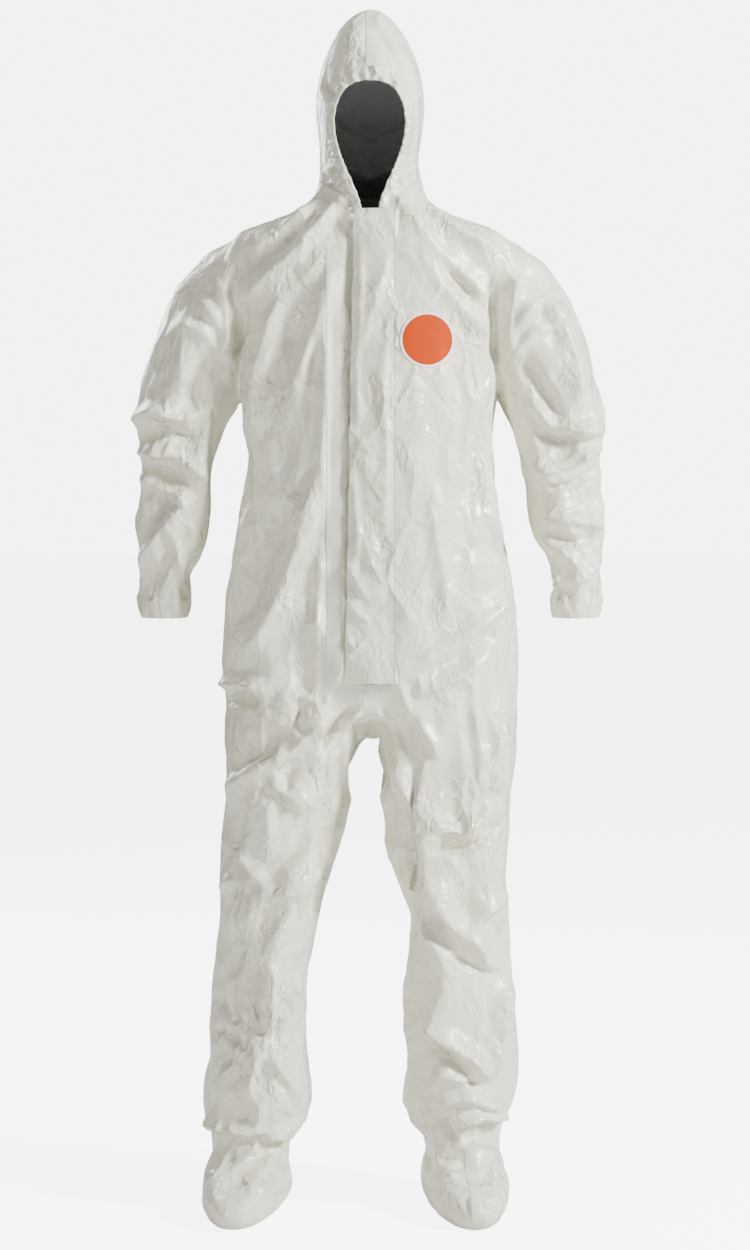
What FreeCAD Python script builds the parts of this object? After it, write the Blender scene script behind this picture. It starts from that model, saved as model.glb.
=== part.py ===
import FreeCAD, Part
import math
import os
from FreeCAD import Vector

# Hooded chemical protective suit with a storm flap, elastic cuffs and attached socks.
# It stands as it hangs on a wearer: +Z up, the front faces -Y, the soles rest on z = 0.
# "right" and "left" are the wearer's, so the right side has negative x.
# All sizes are millimetres. The film is drawn as a 2 mm wall, which is its outer shape.

os.makedirs("parts", exist_ok=True)

# The body's centre plane lies behind the origin, because the toes reach forward.
BODY_Y = 45.0
WALL = 2.0
SIDES = {"right": -1, "left": 1}
RING_POINTS = 24

# Torso: height, half width, depth in front, depth behind.
TORSO = [
    (768, 241, 120, 132),
    (850, 240, 120, 131),
    (920, 235, 120, 127),
    (1016, 221, 120, 120),
    (1086, 209, 120, 117),
    (1150, 199, 120, 117),
    (1210, 196, 120, 120),
    (1265, 200, 120, 123),
    (1310, 212, 120, 125),
    (1370, 232, 120, 126),
    (1430, 246, 120, 122),
    (1480, 255, 120, 113),
    (1508, 245, 120, 106),
    (1528, 200, 120, 101),
    (1545, 150, 120, 98),
    (1560, 116, 120, 96),
]
TORSO_SQUARE = 2.6
COLLAR_Z = 1560
ARMHOLE_X = 197
ARMPIT_Z = 1290

# Hood: height, half width, depth in front, depth behind.
HOOD = [
    (1600, 83, 113, 92),
    (1628, 78, 108, 92),
    (1652, 77, 105, 98),
    (1690, 83, 104, 112),
    (1725, 85, 102, 120),
    (1760, 82, 95, 122),
    (1793, 73, 80, 114),
    (1820, 61, 62, 98),
    (1845, 46, 42, 76),
    (1864, 29, 22, 50),
    (1876, 12, 6, 24),
]
HOOD_SQUARE = 2.2
HOOD_Z = 1600

# Face opening: height and half width, from the top down to the collar.
FACE = [(1763, 31), (1745, 48), (1715, 56), (1685, 56), (1652, 49), (1622, 37), (1594, 24), (1570, 14)]
FACE_TOP_Z = 1767
FACE_BOTTOM_Z = 1552
HEM_WIDTH = 13.0
HEM_STANDS_OUT = 1.5
ELASTIC_WIDTH = 5.0
ELASTIC_THICK = 1.2

# Sleeve rings: distance from the middle, height, lean of the ring, half width, half depth.
# A ring that leans 90 degrees stands upright in the armhole; at 0 the sleeve hangs down.
SHOULDER = [(197, 1415, 90, 108, 88), (233, 1400, 74, 104, 90), (262, 1365, 55, 92, 86)]
UPPER_SLEEVE = [(262, 1365, 55, 92, 86), (283, 1314, 32, 78, 79), (305, 1245, 4, 73, 74), (307, 1222, 0, 70, 71)]
ELBOW = [(307, 1222, 0, 70, 71), (309, 1175, 0, 61, 61), (312, 1137, 0, 58, 59)]
LOWER_SLEEVE = [
    (312, 1137, 0, 58, 59),
    (316, 1100, 0, 59, 58),
    (319, 1055, 0, 56, 54),
    (324, 1005, 0, 46, 46),
    (324, 970, 0, 41, 42),
    (323, 950, 0, 37, 37),
]
CUFF_X = 323
CUFF_TOP_Z = 950
CUFF_BOTTOM_Z = 926
CUFF_R = 37.0
CUFF_BORE_R = 33.5
CUFF_ELASTIC_R = 34.8
CUFF_ELASTIC_HIGH = 8.0

# Legs: height, distance of the middle of the leg, half width, depth in front, depth behind.
LEGS = {
    "right": [
        (768, 123, 115, 114, 124),
        (700, 131, 103, 112, 119),
        (640, 139, 100, 108, 114),
        (590, 147, 97, 105, 109),
        (520, 156, 89, 98, 100),
        (470, 162, 86, 94, 95),
        (400, 171, 83, 88, 92),
        (330, 176, 83, 86, 90),
        (240, 181, 85, 86, 90),
        (180, 183, 91, 90, 91),
        (125, 185, 81, 86, 86),
    ],
    "left": [
        (768, 123, 115, 114, 124),
        (700, 127, 113, 112, 119),
        (640, 121, 108, 108, 114),
        (590, 125, 103, 105, 109),
        (520, 133, 91, 98, 100),
        (470, 144, 84, 94, 95),
        (400, 145, 89, 88, 92),
        (330, 144, 94, 86, 90),
        (240, 148, 94, 86, 90),
        (180, 144, 95, 90, 91),
        (125, 142, 74, 86, 86),
    ],
}
LEG_SQUARE = 2.2
CROTCH_Z = 768
CROTCH_FLOOR = 2.0
# The hip fold slants up from the crotch to the hips, as the groin does.
GROIN_Z = 790
THIGH_Z = 595
GROIN_SLOPE = math.tan(math.radians(35))
KNEE_TOP_Z = 545
KNEE_BOTTOM_Z = 395
HEM_Z = 125

# Feet: where the ankle stands, and how far the toes turn out in degrees.
FEET = {"right": (-190, 6), "left": (148, 4)}
# Sock: height, half width, depth in front, depth behind.
SOCK = [
    (3, 61, 218, 82),
    (22, 66, 222, 87),
    (48, 65, 206, 89),
    (74, 64, 158, 88),
    (100, 65, 108, 84),
    (122, 65, 80, 77),
    (137, 64, 74, 73),
]
SOLE_THICK = 3.0
ANKLE_SEAM = (127, 133)

# Seam tapes lie just off the film they cover.
TAPE_GAP = 0.4
TAPE_THICK = 1.0
TAPE_HALF = 10.0
PLACKET_TAPE_X = (-66, -44)
PLACKET_TAPE_Z = (842, 1500)
CROTCH_TAPE_Z = (794, 826)
NECK_TAPE_Z = (1546, 1558)
SOCK_TAPE_HALF = 6.0

# Zipper: a straight vertical chain down the middle of the front.
ZIP_GAP_HALF = 8.0
ZIP_TAPE_X = (1.8, 16.0)
ZIP_TAPE_Y = (-117.0, -116.0)
ZIP_BOTTOM_Z = 858
ZIP_TOP_Z = 1552
TEETH_Z = (868, 1540)
TOOTH_PITCH = 4.0
TOOTH_HIGH = 1.7
TOOTH_X = (-1.2, 3.2)
TOOTH_Y = (-119.8, -117.0)
SLIDER_Z = (1531, 1546)
SLIDER_HALF = 6.0
SLIDER_FRONT_Y = (-122.8, -120.8)
SLIDER_BACK_Y = (-115.4, -114.2)
SLIDER_BRIDGE_HALF = 0.9
SLIDER_BRIDGE_Z = 1542.5
TAB_PIN_Y = -126.2
TAB_PIN_Z = 1540.0
TAB_PIN_R = 0.8
TAB_HOLE_R = 1.0
TAB_HALF = 2.2
TAB_HALF_THICK = 0.7
TAB_TOP = 2.4
TAB_LONG = 24.0
TAB_GRIP_HALF = 4.0

# Storm flap: hinged on its sewn edge, it closes over the zipper from the left.
FLAP_Z = (830, 1557)
FLAP_HINGE_X = 38.0
FLAP_Y = -134.0
FLAP_THICK = 1.5
FLAP_FREE_TOP_X = -24.0
FLAP_FREE_LOW_X = -38.0
FLAP_CORNER_R = 14.0
FLAP_SEAM_X = (38.5, 44.0)
FLAP_SEAM_Y = (-132.4, -120.0)
ADHESIVE_WIDTH = 8.0

BADGE_X = 88
BADGE_Z = 1357
BADGE_R = 42
BADGE_FIELD_R = 38.5


def save(name, shape):
    """Write one node, moved from the body's own centre to the part's frame."""
    moved = shape.copy()
    moved.translate(Vector(0, BODY_Y, 0))
    moved.exportStep("parts/" + name + ".step")


def box(x, y, z):
    """A box from three (low, high) pairs."""
    low = Vector(min(x), min(y), min(z))
    return Part.makeBox(abs(x[1] - x[0]), abs(y[1] - y[0]), abs(z[1] - z[0]), low)


def ring(centre, across, deep, half, front, back, square):
    """A closed rounded outline; square 2 is an ellipse, and more is boxier."""
    points = []
    for i in range(RING_POINTS):
        angle = 2 * math.pi * i / RING_POINTS
        c = math.cos(angle)
        s = math.sin(angle)
        u = math.copysign(abs(c) ** (2 / square), c) * half
        v = math.copysign(abs(s) ** (2 / square), s) * (front if s < 0 else back)
        points.append(centre + across * u + deep * v)
    even = [float(i) for i in range(RING_POINTS + 1)]
    curve = Part.BSplineCurve()
    curve.interpolate(Points=points, PeriodicFlag=True, Parameters=even)
    return curve


def disc(curve):
    return Part.Face(Part.Wire([curve.toShape()]))


def skin(rings, steps):
    """A closed solid through a stack of rings; equal steps keep nested skins evenly apart."""
    first = rings[0]
    columns = []
    for i in range(first.NbPoles):
        column = Part.BSplineCurve()
        column.interpolate(Points=[r.getPole(i + 1) for r in rings], Parameters=steps)
        columns.append(column)
    around = (first.getMultiplicities(), first.getKnots(), first.isPeriodic(), first.Degree)
    along = (columns[0].getMultiplicities(), columns[0].getKnots(), False, columns[0].Degree)
    poles = [column.getPoles() for column in columns]
    surface = Part.BSplineSurface()
    surface.buildFromPolesMultsKnots(
        poles, around[0], along[0], around[1], along[1], around[2], along[2], around[3], along[3]
    )
    shell = Part.makeShell([surface.toShape(), disc(rings[0]), disc(rings[-1])])
    shell.sewShape()
    solid = Part.makeSolid(shell)
    if solid.Volume < 0:
        solid.reverse()
    return solid


def level_ring(x, z, half, front, back, square, grow=0.0, turn=0.0):
    """A horizontal ring; turn swings its front outwards about the vertical."""
    angle = math.radians(turn)
    across = Vector(math.cos(angle), math.sin(angle), 0)
    deep = Vector(-math.sin(angle), math.cos(angle), 0)
    return ring(Vector(x, 0, z), across, deep, half + grow, front + grow, back + grow, square)


def heights(stations):
    return [float(station[0]) for station in stations]


def torso(grow=0.0):
    rings = [level_ring(0, z, half, front, back, TORSO_SQUARE, grow) for z, half, front, back in TORSO]
    return skin(rings, heights(TORSO))


def hood(grow=0.0):
    rings = [level_ring(0, z, half, front, back, HOOD_SQUARE, grow) for z, half, front, back in HOOD[:-1]]
    z, half, front, back = HOOD[-1]
    rings.append(level_ring(0, z + grow, half + grow, front + grow / 2, back + grow, HOOD_SQUARE))
    return skin(rings, heights(HOOD))


def neck(grow=0.0):
    z, half, front, back = TORSO[-1]
    low = level_ring(0, z, half, front, back, TORSO_SQUARE, grow)
    middle = level_ring(0, 1580, 92, 117, 93, HOOD_SQUARE, grow)
    z, half, front, back = HOOD[0]
    high = level_ring(0, z, half, front, back, HOOD_SQUARE, grow)
    return skin([low, middle, high], [COLLAR_Z, 1580, HOOD_Z])


def leg(side, grow=0.0):
    sign = SIDES[side]
    rings = [
        level_ring(sign * x, z, half, front, back, LEG_SQUARE, grow) for z, x, half, front, back in LEGS[side]
    ]
    rings.reverse()
    return skin(rings, sorted(heights(LEGS[side])))


def sock(side, grow=0.0):
    x, turn = FEET[side]
    turn = SIDES[side] * turn
    rings = [level_ring(x, z, half, front, back, LEG_SQUARE, grow, turn) for z, half, front, back in SOCK]
    return skin(rings, heights(SOCK))


def sleeve(side, stations, grow=0.0):
    sign = SIDES[side]
    rings = []
    steps = []
    for x, z, lean, half, depth in stations:
        angle = math.radians(lean)
        across = Vector(sign * math.cos(angle), 0, math.sin(angle))
        centre = Vector(sign * x, 0, z)
        rings.append(ring(centre, across, Vector(0, 1, 0), half + grow, depth + grow, depth + grow, 2.0))
        steps.append(float(stations[0][1] - z + x - stations[0][0]))
    return skin(rings, steps)


def front_prism(outline, low_y, high_y):
    """A flat outline of (x, z) points, run from low_y to high_y."""
    points = [Vector(x, low_y, z) for x, z in outline]
    points.append(points[0])
    return Part.Face(Part.makePolygon(points)).extrude(Vector(0, high_y - low_y, 0))


def face_prism(grow=0.0):
    """The face opening, run forward from the middle of the head."""
    left = [(half + grow, z) for z, half in FACE]
    right = [(-x, z) for x, z in reversed(left)]
    outline = [(0, FACE_TOP_Z + grow)] + left + [(12 + grow, FACE_BOTTOM_Z), (-12 - grow, FACE_BOTTOM_Z)] + right
    points = [Vector(x, -200, z) for x, z in outline]
    curve = Part.BSplineCurve()
    curve.interpolate(Points=points, PeriodicFlag=True)
    return Part.Face(Part.Wire([curve.toShape()])).extrude(Vector(0, 200, 0))


def half_space(side):
    sign = SIDES[side]
    return box((0, sign * 500), (-400, 400), (-10, 2000))


def groin_height(x):
    return GROIN_Z + GROIN_SLOPE * abs(x)


def thigh_height(x):
    return THIGH_Z + GROIN_SLOPE * abs(x)


def make_hood():
    shell = hood().cut(hood(-WALL))
    panels = shell.cut(face_prism(HEM_WIDTH))
    for side in SIDES:
        save("hood_" + side + "_panel", panels.common(half_space(side)))
    rim = face_prism(HEM_WIDTH).cut(face_prism())
    hem = hood(HEM_STANDS_OUT).cut(hood(-WALL)).common(rim)
    hem = hem.common(box((-200, 200), (-200, 0), (HOOD_Z, 1900)))
    edge = (HEM_WIDTH - ELASTIC_WIDTH) / 2
    band = face_prism(edge + ELASTIC_WIDTH).cut(face_prism(edge))
    elastic = hood(0.3).cut(hood(0.3 - ELASTIC_THICK)).common(band)
    elastic = elastic.common(box((-200, 200), (-200, 0), (HOOD_Z, 1900)))
    save("face_elastic", elastic)
    save("face_hem", hem.cut(elastic))
    seam = hood(TAPE_GAP + TAPE_THICK).cut(hood(TAPE_GAP))
    seam = seam.common(box((-TAPE_HALF, TAPE_HALF), (-200, 200), (HOOD_Z, 1900)))
    save("hood_seam_tape", seam.cut(face_prism(HEM_WIDTH + 1)))
    save("hood_neck", neck().cut(neck(-WALL)).cut(face_prism()))


def make_torso():
    shell = torso().cut(torso(-WALL))
    body = box((-ARMHOLE_X, ARMHOLE_X), (-200, 200), (ARMPIT_Z, COLLAR_Z))
    trunk = [(-300, groin_height(300)), (0, GROIN_Z), (300, groin_height(300)), (300, ARMPIT_Z), (-300, ARMPIT_Z)]
    keep = body.fuse(front_prism(trunk, -200, 200))
    shell = shell.common(keep)
    front = box((-300, 300), (-200, 0), (700, COLLAR_Z))
    back = box((-300, 300), (0, 200), (700, COLLAR_Z))
    slot = box((-ZIP_GAP_HALF, ZIP_GAP_HALF), (-200, 0), (ZIP_BOTTOM_Z, COLLAR_Z))
    for side in SIDES:
        save(side + "_front", shell.common(front).cut(slot).common(half_space(side)))
    save("back", shell.common(back))


def make_torso_tapes():
    cover = torso(TAPE_GAP + TAPE_THICK).cut(torso(TAPE_GAP))
    placket = box(PLACKET_TAPE_X, (-200, 0), PLACKET_TAPE_Z)
    save("placket_seam_tape", cover.common(placket))
    crotch = box((-TAPE_HALF, TAPE_HALF), (-200, 0), CROTCH_TAPE_Z)
    save("crotch_seam_tape", cover.common(crotch))
    collar = box((-200, 200), (-200, 200), NECK_TAPE_Z)
    save("neck_seam_tape", cover.common(collar))
    armhole = box((1 - ARMHOLE_X, 13 - ARMHOLE_X), (-200, 200), (ARMPIT_Z + 12, COLLAR_Z))
    armhole_tape = cover.common(armhole)
    save("right_armhole_tape", armhole_tape)
    save("left_armhole_tape", armhole_tape.mirror(Vector(0, 0, 0), Vector(1, 0, 0)))
    border = Part.makeCylinder(BADGE_R, 200, Vector(BADGE_X, 0, BADGE_Z), Vector(0, -1, 0))
    field = Part.makeCylinder(BADGE_FIELD_R, 200, Vector(BADGE_X, 0, BADGE_Z), Vector(0, -1, 0))
    save("chest_badge_border", cover.common(border).cut(field))
    save("chest_badge", cover.common(field))


def make_legs():
    z, half, front, back = TORSO[0]
    hips = torso().cut(torso(-WALL))
    floor = disc(level_ring(0, z, half, front, back, TORSO_SQUARE)).extrude(Vector(0, 0, CROTCH_FLOOR))
    for side, sign in SIDES.items():
        top_z, x, half, front, back = LEGS[side][0]
        hole = disc(level_ring(sign * x, top_z, half, front, back, LEG_SQUARE, -WALL))
        floor = floor.cut(hole.extrude(Vector(0, 0, CROTCH_FLOOR)))
    for side, sign in SIDES.items():
        shell = leg(side).cut(leg(side, -WALL))
        far = sign * 300
        zone = front_prism(
            [(0, GROIN_Z), (far, groin_height(far)), (far, thigh_height(far)), (0, THIGH_Z)], -200, 200
        )
        above = box((0, far), (-200, 200), (CROTCH_Z + CROTCH_FLOOR, 1100))
        upper = hips.common(zone).common(above)
        lower = shell.common(zone)
        save(side + "_hip", Part.makeCompound([upper, floor.common(half_space(side)), lower]))
        under = [(0, THIGH_Z), (far, thigh_height(far)), (far, KNEE_TOP_Z), (0, KNEE_TOP_Z)]
        save(side + "_thigh", shell.common(front_prism(under, -200, 200)))
        knee = box((0, far), (-200, 200), (KNEE_BOTTOM_Z, KNEE_TOP_Z))
        save(side + "_knee", shell.common(knee))
        shin = box((0, far), (-200, 200), (HEM_Z, KNEE_BOTTOM_Z))
        save(side + "_shin", shell.common(shin))


def make_socks():
    for side, sign in SIDES.items():
        x, turn = FEET[side]
        turn = sign * turn
        save(side + "_sock", sock(side).cut(sock(side, -WALL)))
        z, half, front, back = SOCK[0]
        outline = level_ring(x, 0, half, front, back, LEG_SQUARE, 0.0, turn)
        save(side + "_sock_sole", disc(outline).extrude(Vector(0, 0, SOLE_THICK)))
        band = box((0, sign * 400), (-200, 200), ANKLE_SEAM)
        seam = leg(side, -WALL - 0.3).common(band).cut(sock(side, 0.3))
        save(side + "_ankle_seam", seam)
        strip = box((x - SOCK_TAPE_HALF, x + SOCK_TAPE_HALF), (-400, 0), (8, 116))
        strip.rotate(Vector(x, 0, 0), Vector(0, 0, 1), turn)
        cover = sock(side, TAPE_GAP + TAPE_THICK).cut(sock(side, TAPE_GAP))
        save(side + "_sock_seam_tape", cover.common(strip))


def make_sleeves():
    pieces = {"shoulder": SHOULDER, "upper_sleeve": UPPER_SLEEVE, "elbow": ELBOW, "lower_sleeve": LOWER_SLEEVE}
    high = CUFF_TOP_Z - CUFF_BOTTOM_Z
    for side, sign in SIDES.items():
        for name, stations in pieces.items():
            shell = sleeve(side, stations).cut(sleeve(side, stations, -WALL))
            save(side + "_" + name, shell)
        low = Vector(sign * CUFF_X, 0, CUFF_BOTTOM_Z)
        hem = Part.makeCylinder(CUFF_R, high, low).cut(Part.makeCylinder(CUFF_BORE_R, high, low))
        middle = low + Vector(0, 0, (high - CUFF_ELASTIC_HIGH) / 2)
        elastic = Part.makeCylinder(CUFF_ELASTIC_R + ELASTIC_THICK, CUFF_ELASTIC_HIGH, middle)
        elastic = elastic.cut(Part.makeCylinder(CUFF_ELASTIC_R, CUFF_ELASTIC_HIGH, middle))
        save(side + "_cuff", hem.cut(elastic))
        save(side + "_cuff_elastic", elastic)


def teeth(sign, first_z):
    """One row of zipper teeth, each a separate solid."""
    count = int((TEETH_Z[1] - first_z) / TOOTH_PITCH)
    x = (sign * TOOTH_X[0], sign * TOOTH_X[1])
    row = []
    for i in range(count):
        z = first_z + i * TOOTH_PITCH
        row.append(box(x, TOOTH_Y, (z, z + TOOTH_HIGH)))
    return Part.makeCompound(row)


def make_zipper():
    stops = []
    for side, sign in SIDES.items():
        x = (sign * ZIP_TAPE_X[0], sign * ZIP_TAPE_X[1])
        save("zipper_tape_" + side, box(x, ZIP_TAPE_Y, (ZIP_BOTTOM_Z, ZIP_TOP_Z)))
        first = TEETH_Z[0] + (TOOTH_PITCH / 2 if sign > 0 else 0)
        save("zipper_teeth_" + side, teeth(sign, first))
        stops.append(box((sign * 2.2, sign * 4.2), (-119.4, -117.0), (1547.5, 1550.5)))
    save("zipper_top_stops", Part.makeCompound(stops))
    save("zipper_bottom_stop", box((-4.0, 4.0), (-119.4, -117.0), (860, 866)))
    front = box((-SLIDER_HALF, SLIDER_HALF), SLIDER_FRONT_Y, SLIDER_Z)
    back = box((-SLIDER_HALF, SLIDER_HALF), SLIDER_BACK_Y, SLIDER_Z)
    bridge_y = (SLIDER_FRONT_Y[1], SLIDER_BACK_Y[0])
    bridge = box((-SLIDER_BRIDGE_HALF, SLIDER_BRIDGE_HALF), bridge_y, (SLIDER_BRIDGE_Z, SLIDER_Z[1]))
    body = front.fuse(back).fuse(bridge)
    for sign in SIDES.values():
        inner = sign * (TAB_HALF + 0.4)
        outer = sign * (TAB_HALF + 1.6)
        ear_y = (TAB_PIN_Y - 1.6, SLIDER_FRONT_Y[0])
        ear_z = (TAB_PIN_Z - 2.0, TAB_PIN_Z + 2.0)
        body = body.fuse(box((inner, outer), ear_y, ear_z))
    pin_half = TAB_HALF + 1.0
    pin = Part.makeCylinder(TAB_PIN_R, 2 * pin_half, Vector(-pin_half, TAB_PIN_Y, TAB_PIN_Z), Vector(1, 0, 0))
    save("zipper_slider", body.fuse(pin).removeSplitter())
    make_pull_tab()


def make_pull_tab():
    """The tab hangs from the slider's pin and widens into a grip."""
    low = TAB_PIN_Z - TAB_LONG
    y = (TAB_PIN_Y - TAB_HALF_THICK, TAB_PIN_Y + TAB_HALF_THICK)
    stem = box((-TAB_HALF, TAB_HALF), y, (low + 8, TAB_PIN_Z))
    eye = Part.makeCylinder(TAB_TOP, 2 * TAB_HALF, Vector(-TAB_HALF, TAB_PIN_Y, TAB_PIN_Z), Vector(1, 0, 0))
    grip = box((-TAB_GRIP_HALF, TAB_GRIP_HALF), y, (low, TAB_PIN_Z - 6))
    hole = Part.makeCylinder(TAB_HOLE_R, 20, Vector(-10, TAB_PIN_Y, TAB_PIN_Z), Vector(1, 0, 0))
    tab = stem.fuse(eye).fuse(grip).cut(hole)
    save("zipper_pull_tab", tab.removeSplitter())


def make_flap():
    """The cover strip over the zipper, with a rounded lower free corner."""
    low, high = FLAP_Z
    y = FLAP_Y - FLAP_THICK / 2
    hinge = Vector(FLAP_HINGE_X - 0.5, y, high)
    top_free = Vector(FLAP_FREE_TOP_X, y, high)
    bend = Vector(FLAP_FREE_LOW_X, y, low + FLAP_CORNER_R)
    middle = Vector(FLAP_FREE_LOW_X + 0.3 * FLAP_CORNER_R, y, low + 0.3 * FLAP_CORNER_R)
    foot = Vector(FLAP_FREE_LOW_X + FLAP_CORNER_R, y, low)
    sewn = Vector(FLAP_HINGE_X - 0.5, y, low)
    edges = [
        Part.LineSegment(hinge, top_free).toShape(),
        Part.LineSegment(top_free, bend).toShape(),
        Part.Arc(bend, middle, foot).toShape(),
        Part.LineSegment(foot, sewn).toShape(),
        Part.LineSegment(sewn, hinge).toShape(),
    ]
    flap = Part.Face(Part.Wire(edges)).extrude(Vector(0, FLAP_THICK, 0))
    save("storm_flap", flap)
    back_y = FLAP_Y + FLAP_THICK / 2
    strip = box(
        (FLAP_FREE_TOP_X + 2, FLAP_FREE_TOP_X + 2 + ADHESIVE_WIDTH),
        (back_y, back_y + TAPE_THICK),
        (low + 40, high - 15),
    )
    save("flap_adhesive_strip", strip)
    save("flap_seam", box(FLAP_SEAM_X, FLAP_SEAM_Y, FLAP_Z))


make_hood()
make_torso()
make_torso_tapes()
make_sleeves()
make_legs()
make_socks()
make_zipper()
make_flap()
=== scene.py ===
import math
import bmesh
import bpy
import numpy as np
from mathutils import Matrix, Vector, noise
from mathutils.bvhtree import BVHTree


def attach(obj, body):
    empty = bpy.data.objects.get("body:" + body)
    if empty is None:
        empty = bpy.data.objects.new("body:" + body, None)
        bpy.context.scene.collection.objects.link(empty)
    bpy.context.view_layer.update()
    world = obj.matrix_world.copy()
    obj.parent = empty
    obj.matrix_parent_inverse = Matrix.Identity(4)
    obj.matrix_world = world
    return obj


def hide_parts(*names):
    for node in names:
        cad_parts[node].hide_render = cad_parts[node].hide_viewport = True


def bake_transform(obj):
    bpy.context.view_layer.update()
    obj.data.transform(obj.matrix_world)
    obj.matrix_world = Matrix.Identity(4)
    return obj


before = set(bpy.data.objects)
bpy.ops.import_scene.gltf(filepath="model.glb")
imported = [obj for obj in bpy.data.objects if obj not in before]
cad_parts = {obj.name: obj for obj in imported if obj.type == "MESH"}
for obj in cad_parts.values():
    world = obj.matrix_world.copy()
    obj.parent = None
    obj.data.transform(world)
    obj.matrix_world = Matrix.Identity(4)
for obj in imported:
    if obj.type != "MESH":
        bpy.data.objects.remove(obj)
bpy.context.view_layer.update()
noise.seed_set(7)

# Sizes are metres in the frame. Tables repeat the frame's own stations in millimetres.
MM = 0.001
BODY_Y = 0.045
BADGE_X = 0.088
BADGE_Z = 1.357
VOXEL = 0.0095
DRAPE_FRAMES = 16
# How square the rings are: 2 is an ellipse.
TRUNK_SQUARE = 2.6
LIMB_SQUARE = 2.2
FLOOR_Z = -0.0006
# How far folds, facets and gathers stand out.
FOLD_GAIN = 2.1
BIG_FACET = 0.0165
SMALL_FACET = 0.0055
FACE_PLEAT = 0.0085
CUFF_PLEAT = 0.0110
# Front of the storm flap, and the chest beside it.
FLAP_Y = -0.0895
CHEST_Y = -0.0893
SIDES = {"right": -1, "left": 1}

# Height, half width, depth in front, depth behind.
TRUNK = [
    (768, 241, 120, 132), (850, 240, 120, 131), (920, 235, 120, 127), (1016, 221, 119, 120),
    (1086, 209, 118, 117), (1150, 199, 118, 117), (1210, 196, 119, 120), (1265, 200, 120, 123),
    (1310, 212, 120, 125), (1370, 232, 120, 126), (1430, 246, 120, 122), (1480, 255, 120, 113),
    (1508, 245, 120, 106), (1528, 200, 120, 101), (1545, 150, 120, 98), (1560, 116, 120, 96),
    (1580, 92, 117, 93), (1600, 83, 113, 92), (1628, 78, 108, 92), (1652, 77, 105, 98),
    (1690, 83, 104, 112), (1725, 85, 102, 120), (1760, 82, 95, 122), (1793, 73, 80, 114),
    (1820, 61, 62, 98), (1845, 46, 42, 76), (1864, 29, 22, 50), (1876, 12, 6, 24),
]
# Distance from the middle, height, lean of the ring in degrees, half width, half depth.
SLEEVE = [
    (150, 1415, 90, 92, 78), (197, 1415, 90, 108, 88), (233, 1400, 74, 104, 90),
    (262, 1365, 55, 92, 86), (283, 1314, 32, 78, 79), (305, 1245, 4, 73, 74),
    (307, 1222, 0, 70, 71), (309, 1175, 0, 61, 61), (312, 1137, 0, 58, 59), (316, 1100, 0, 59, 58),
    (319, 1055, 0, 56, 54), (324, 1005, 0, 46, 46), (324, 970, 0, 41, 42), (323, 950, 0, 37, 37),
    (323, 926, 0, 37, 37), (323, 916, 0, 35, 35),
]
# Height, distance of the leg's middle, half width, depth in front, depth behind.
LEGS = {
    "right": [
        (810, 118, 105, 104, 112), (768, 123, 115, 114, 124), (700, 131, 103, 112, 119),
        (640, 139, 100, 108, 114), (590, 147, 97, 105, 109), (520, 156, 89, 98, 100),
        (470, 162, 86, 94, 95), (400, 171, 83, 88, 92), (330, 176, 83, 86, 90),
        (240, 181, 85, 86, 90), (180, 183, 91, 90, 91), (125, 185, 81, 86, 86),
    ],
    "left": [
        (810, 118, 105, 104, 112), (768, 123, 115, 114, 124), (700, 127, 113, 112, 119),
        (640, 121, 108, 108, 114), (590, 125, 103, 105, 109), (520, 133, 91, 98, 100),
        (470, 144, 84, 94, 95), (400, 145, 89, 88, 92), (330, 144, 94, 86, 90),
        (240, 148, 94, 86, 90), (180, 144, 95, 90, 91), (125, 142, 74, 86, 86),
    ],
}
FEET = {"right": (-190, 6), "left": (148, 4)}
SOCK = [
    (0, 60, 217, 80), (3, 61, 218, 82), (22, 66, 222, 87), (48, 65, 206, 89), (74, 64, 158, 88),
    (100, 65, 108, 84), (122, 65, 80, 77), (150, 64, 74, 73),
]


def make_camera():
    data = bpy.data.cameras.new("camera")
    data.sensor_fit = "VERTICAL"
    data.sensor_height = 36.0
    data.lens = 91.7
    camera = bpy.data.objects.new("camera", data)
    bpy.context.scene.collection.objects.link(camera)
    camera.location = (0.008, BODY_Y - 5.0, 1.19)
    aim = Vector((0.008, BODY_Y, 0.914)) - camera.location
    camera.rotation_euler = aim.to_track_quat("-Z", "Y").to_euler()
    bpy.context.scene.camera = camera


def light(name, location, size, power):
    data = bpy.data.lights.new(name, "AREA")
    data.shape = "RECTANGLE"
    data.size = size[0]
    data.size_y = size[1]
    data.energy = power
    lamp = bpy.data.objects.new(name, data)
    bpy.context.scene.collection.objects.link(lamp)
    lamp.location = location
    aim = Vector((0, 0, 1.0)) - lamp.location
    lamp.rotation_euler = aim.to_track_quat("-Z", "Y").to_euler()


def interpolate(rows, steps):
    """Smooth rows between stations; the first value of each row is its place."""
    rows = np.array(rows, float)
    place = np.arange(len(rows))
    fine = np.linspace(0, len(rows) - 1, steps)
    out = np.empty((steps, rows.shape[1]))
    for k in range(rows.shape[1]):
        slope = np.gradient(rows[:, k])
        i = np.clip(fine.astype(int), 0, len(rows) - 2)
        t = fine - i
        h1 = 2 * t**3 - 3 * t**2 + 1
        h2 = -2 * t**3 + 3 * t**2
        h3 = t**3 - 2 * t**2 + t
        h4 = t**3 - t**2
        out[:, k] = h1 * rows[i, k] + h2 * rows[i + 1, k] + h3 * slope[i] + h4 * slope[i + 1]
    return out


def ring_points(centre, across, deep, half, front, back, square, count=72):
    angle = np.linspace(0, 2 * math.pi, count, endpoint=False)
    c = np.cos(angle)
    s = np.sin(angle)
    u = np.sign(c) * np.abs(c) ** (2 / square) * half
    v = np.sign(s) * np.abs(s) ** (2 / square) * np.where(s < 0, front, back)
    return np.array(centre) + np.outer(u, across) + np.outer(v, deep)


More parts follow.
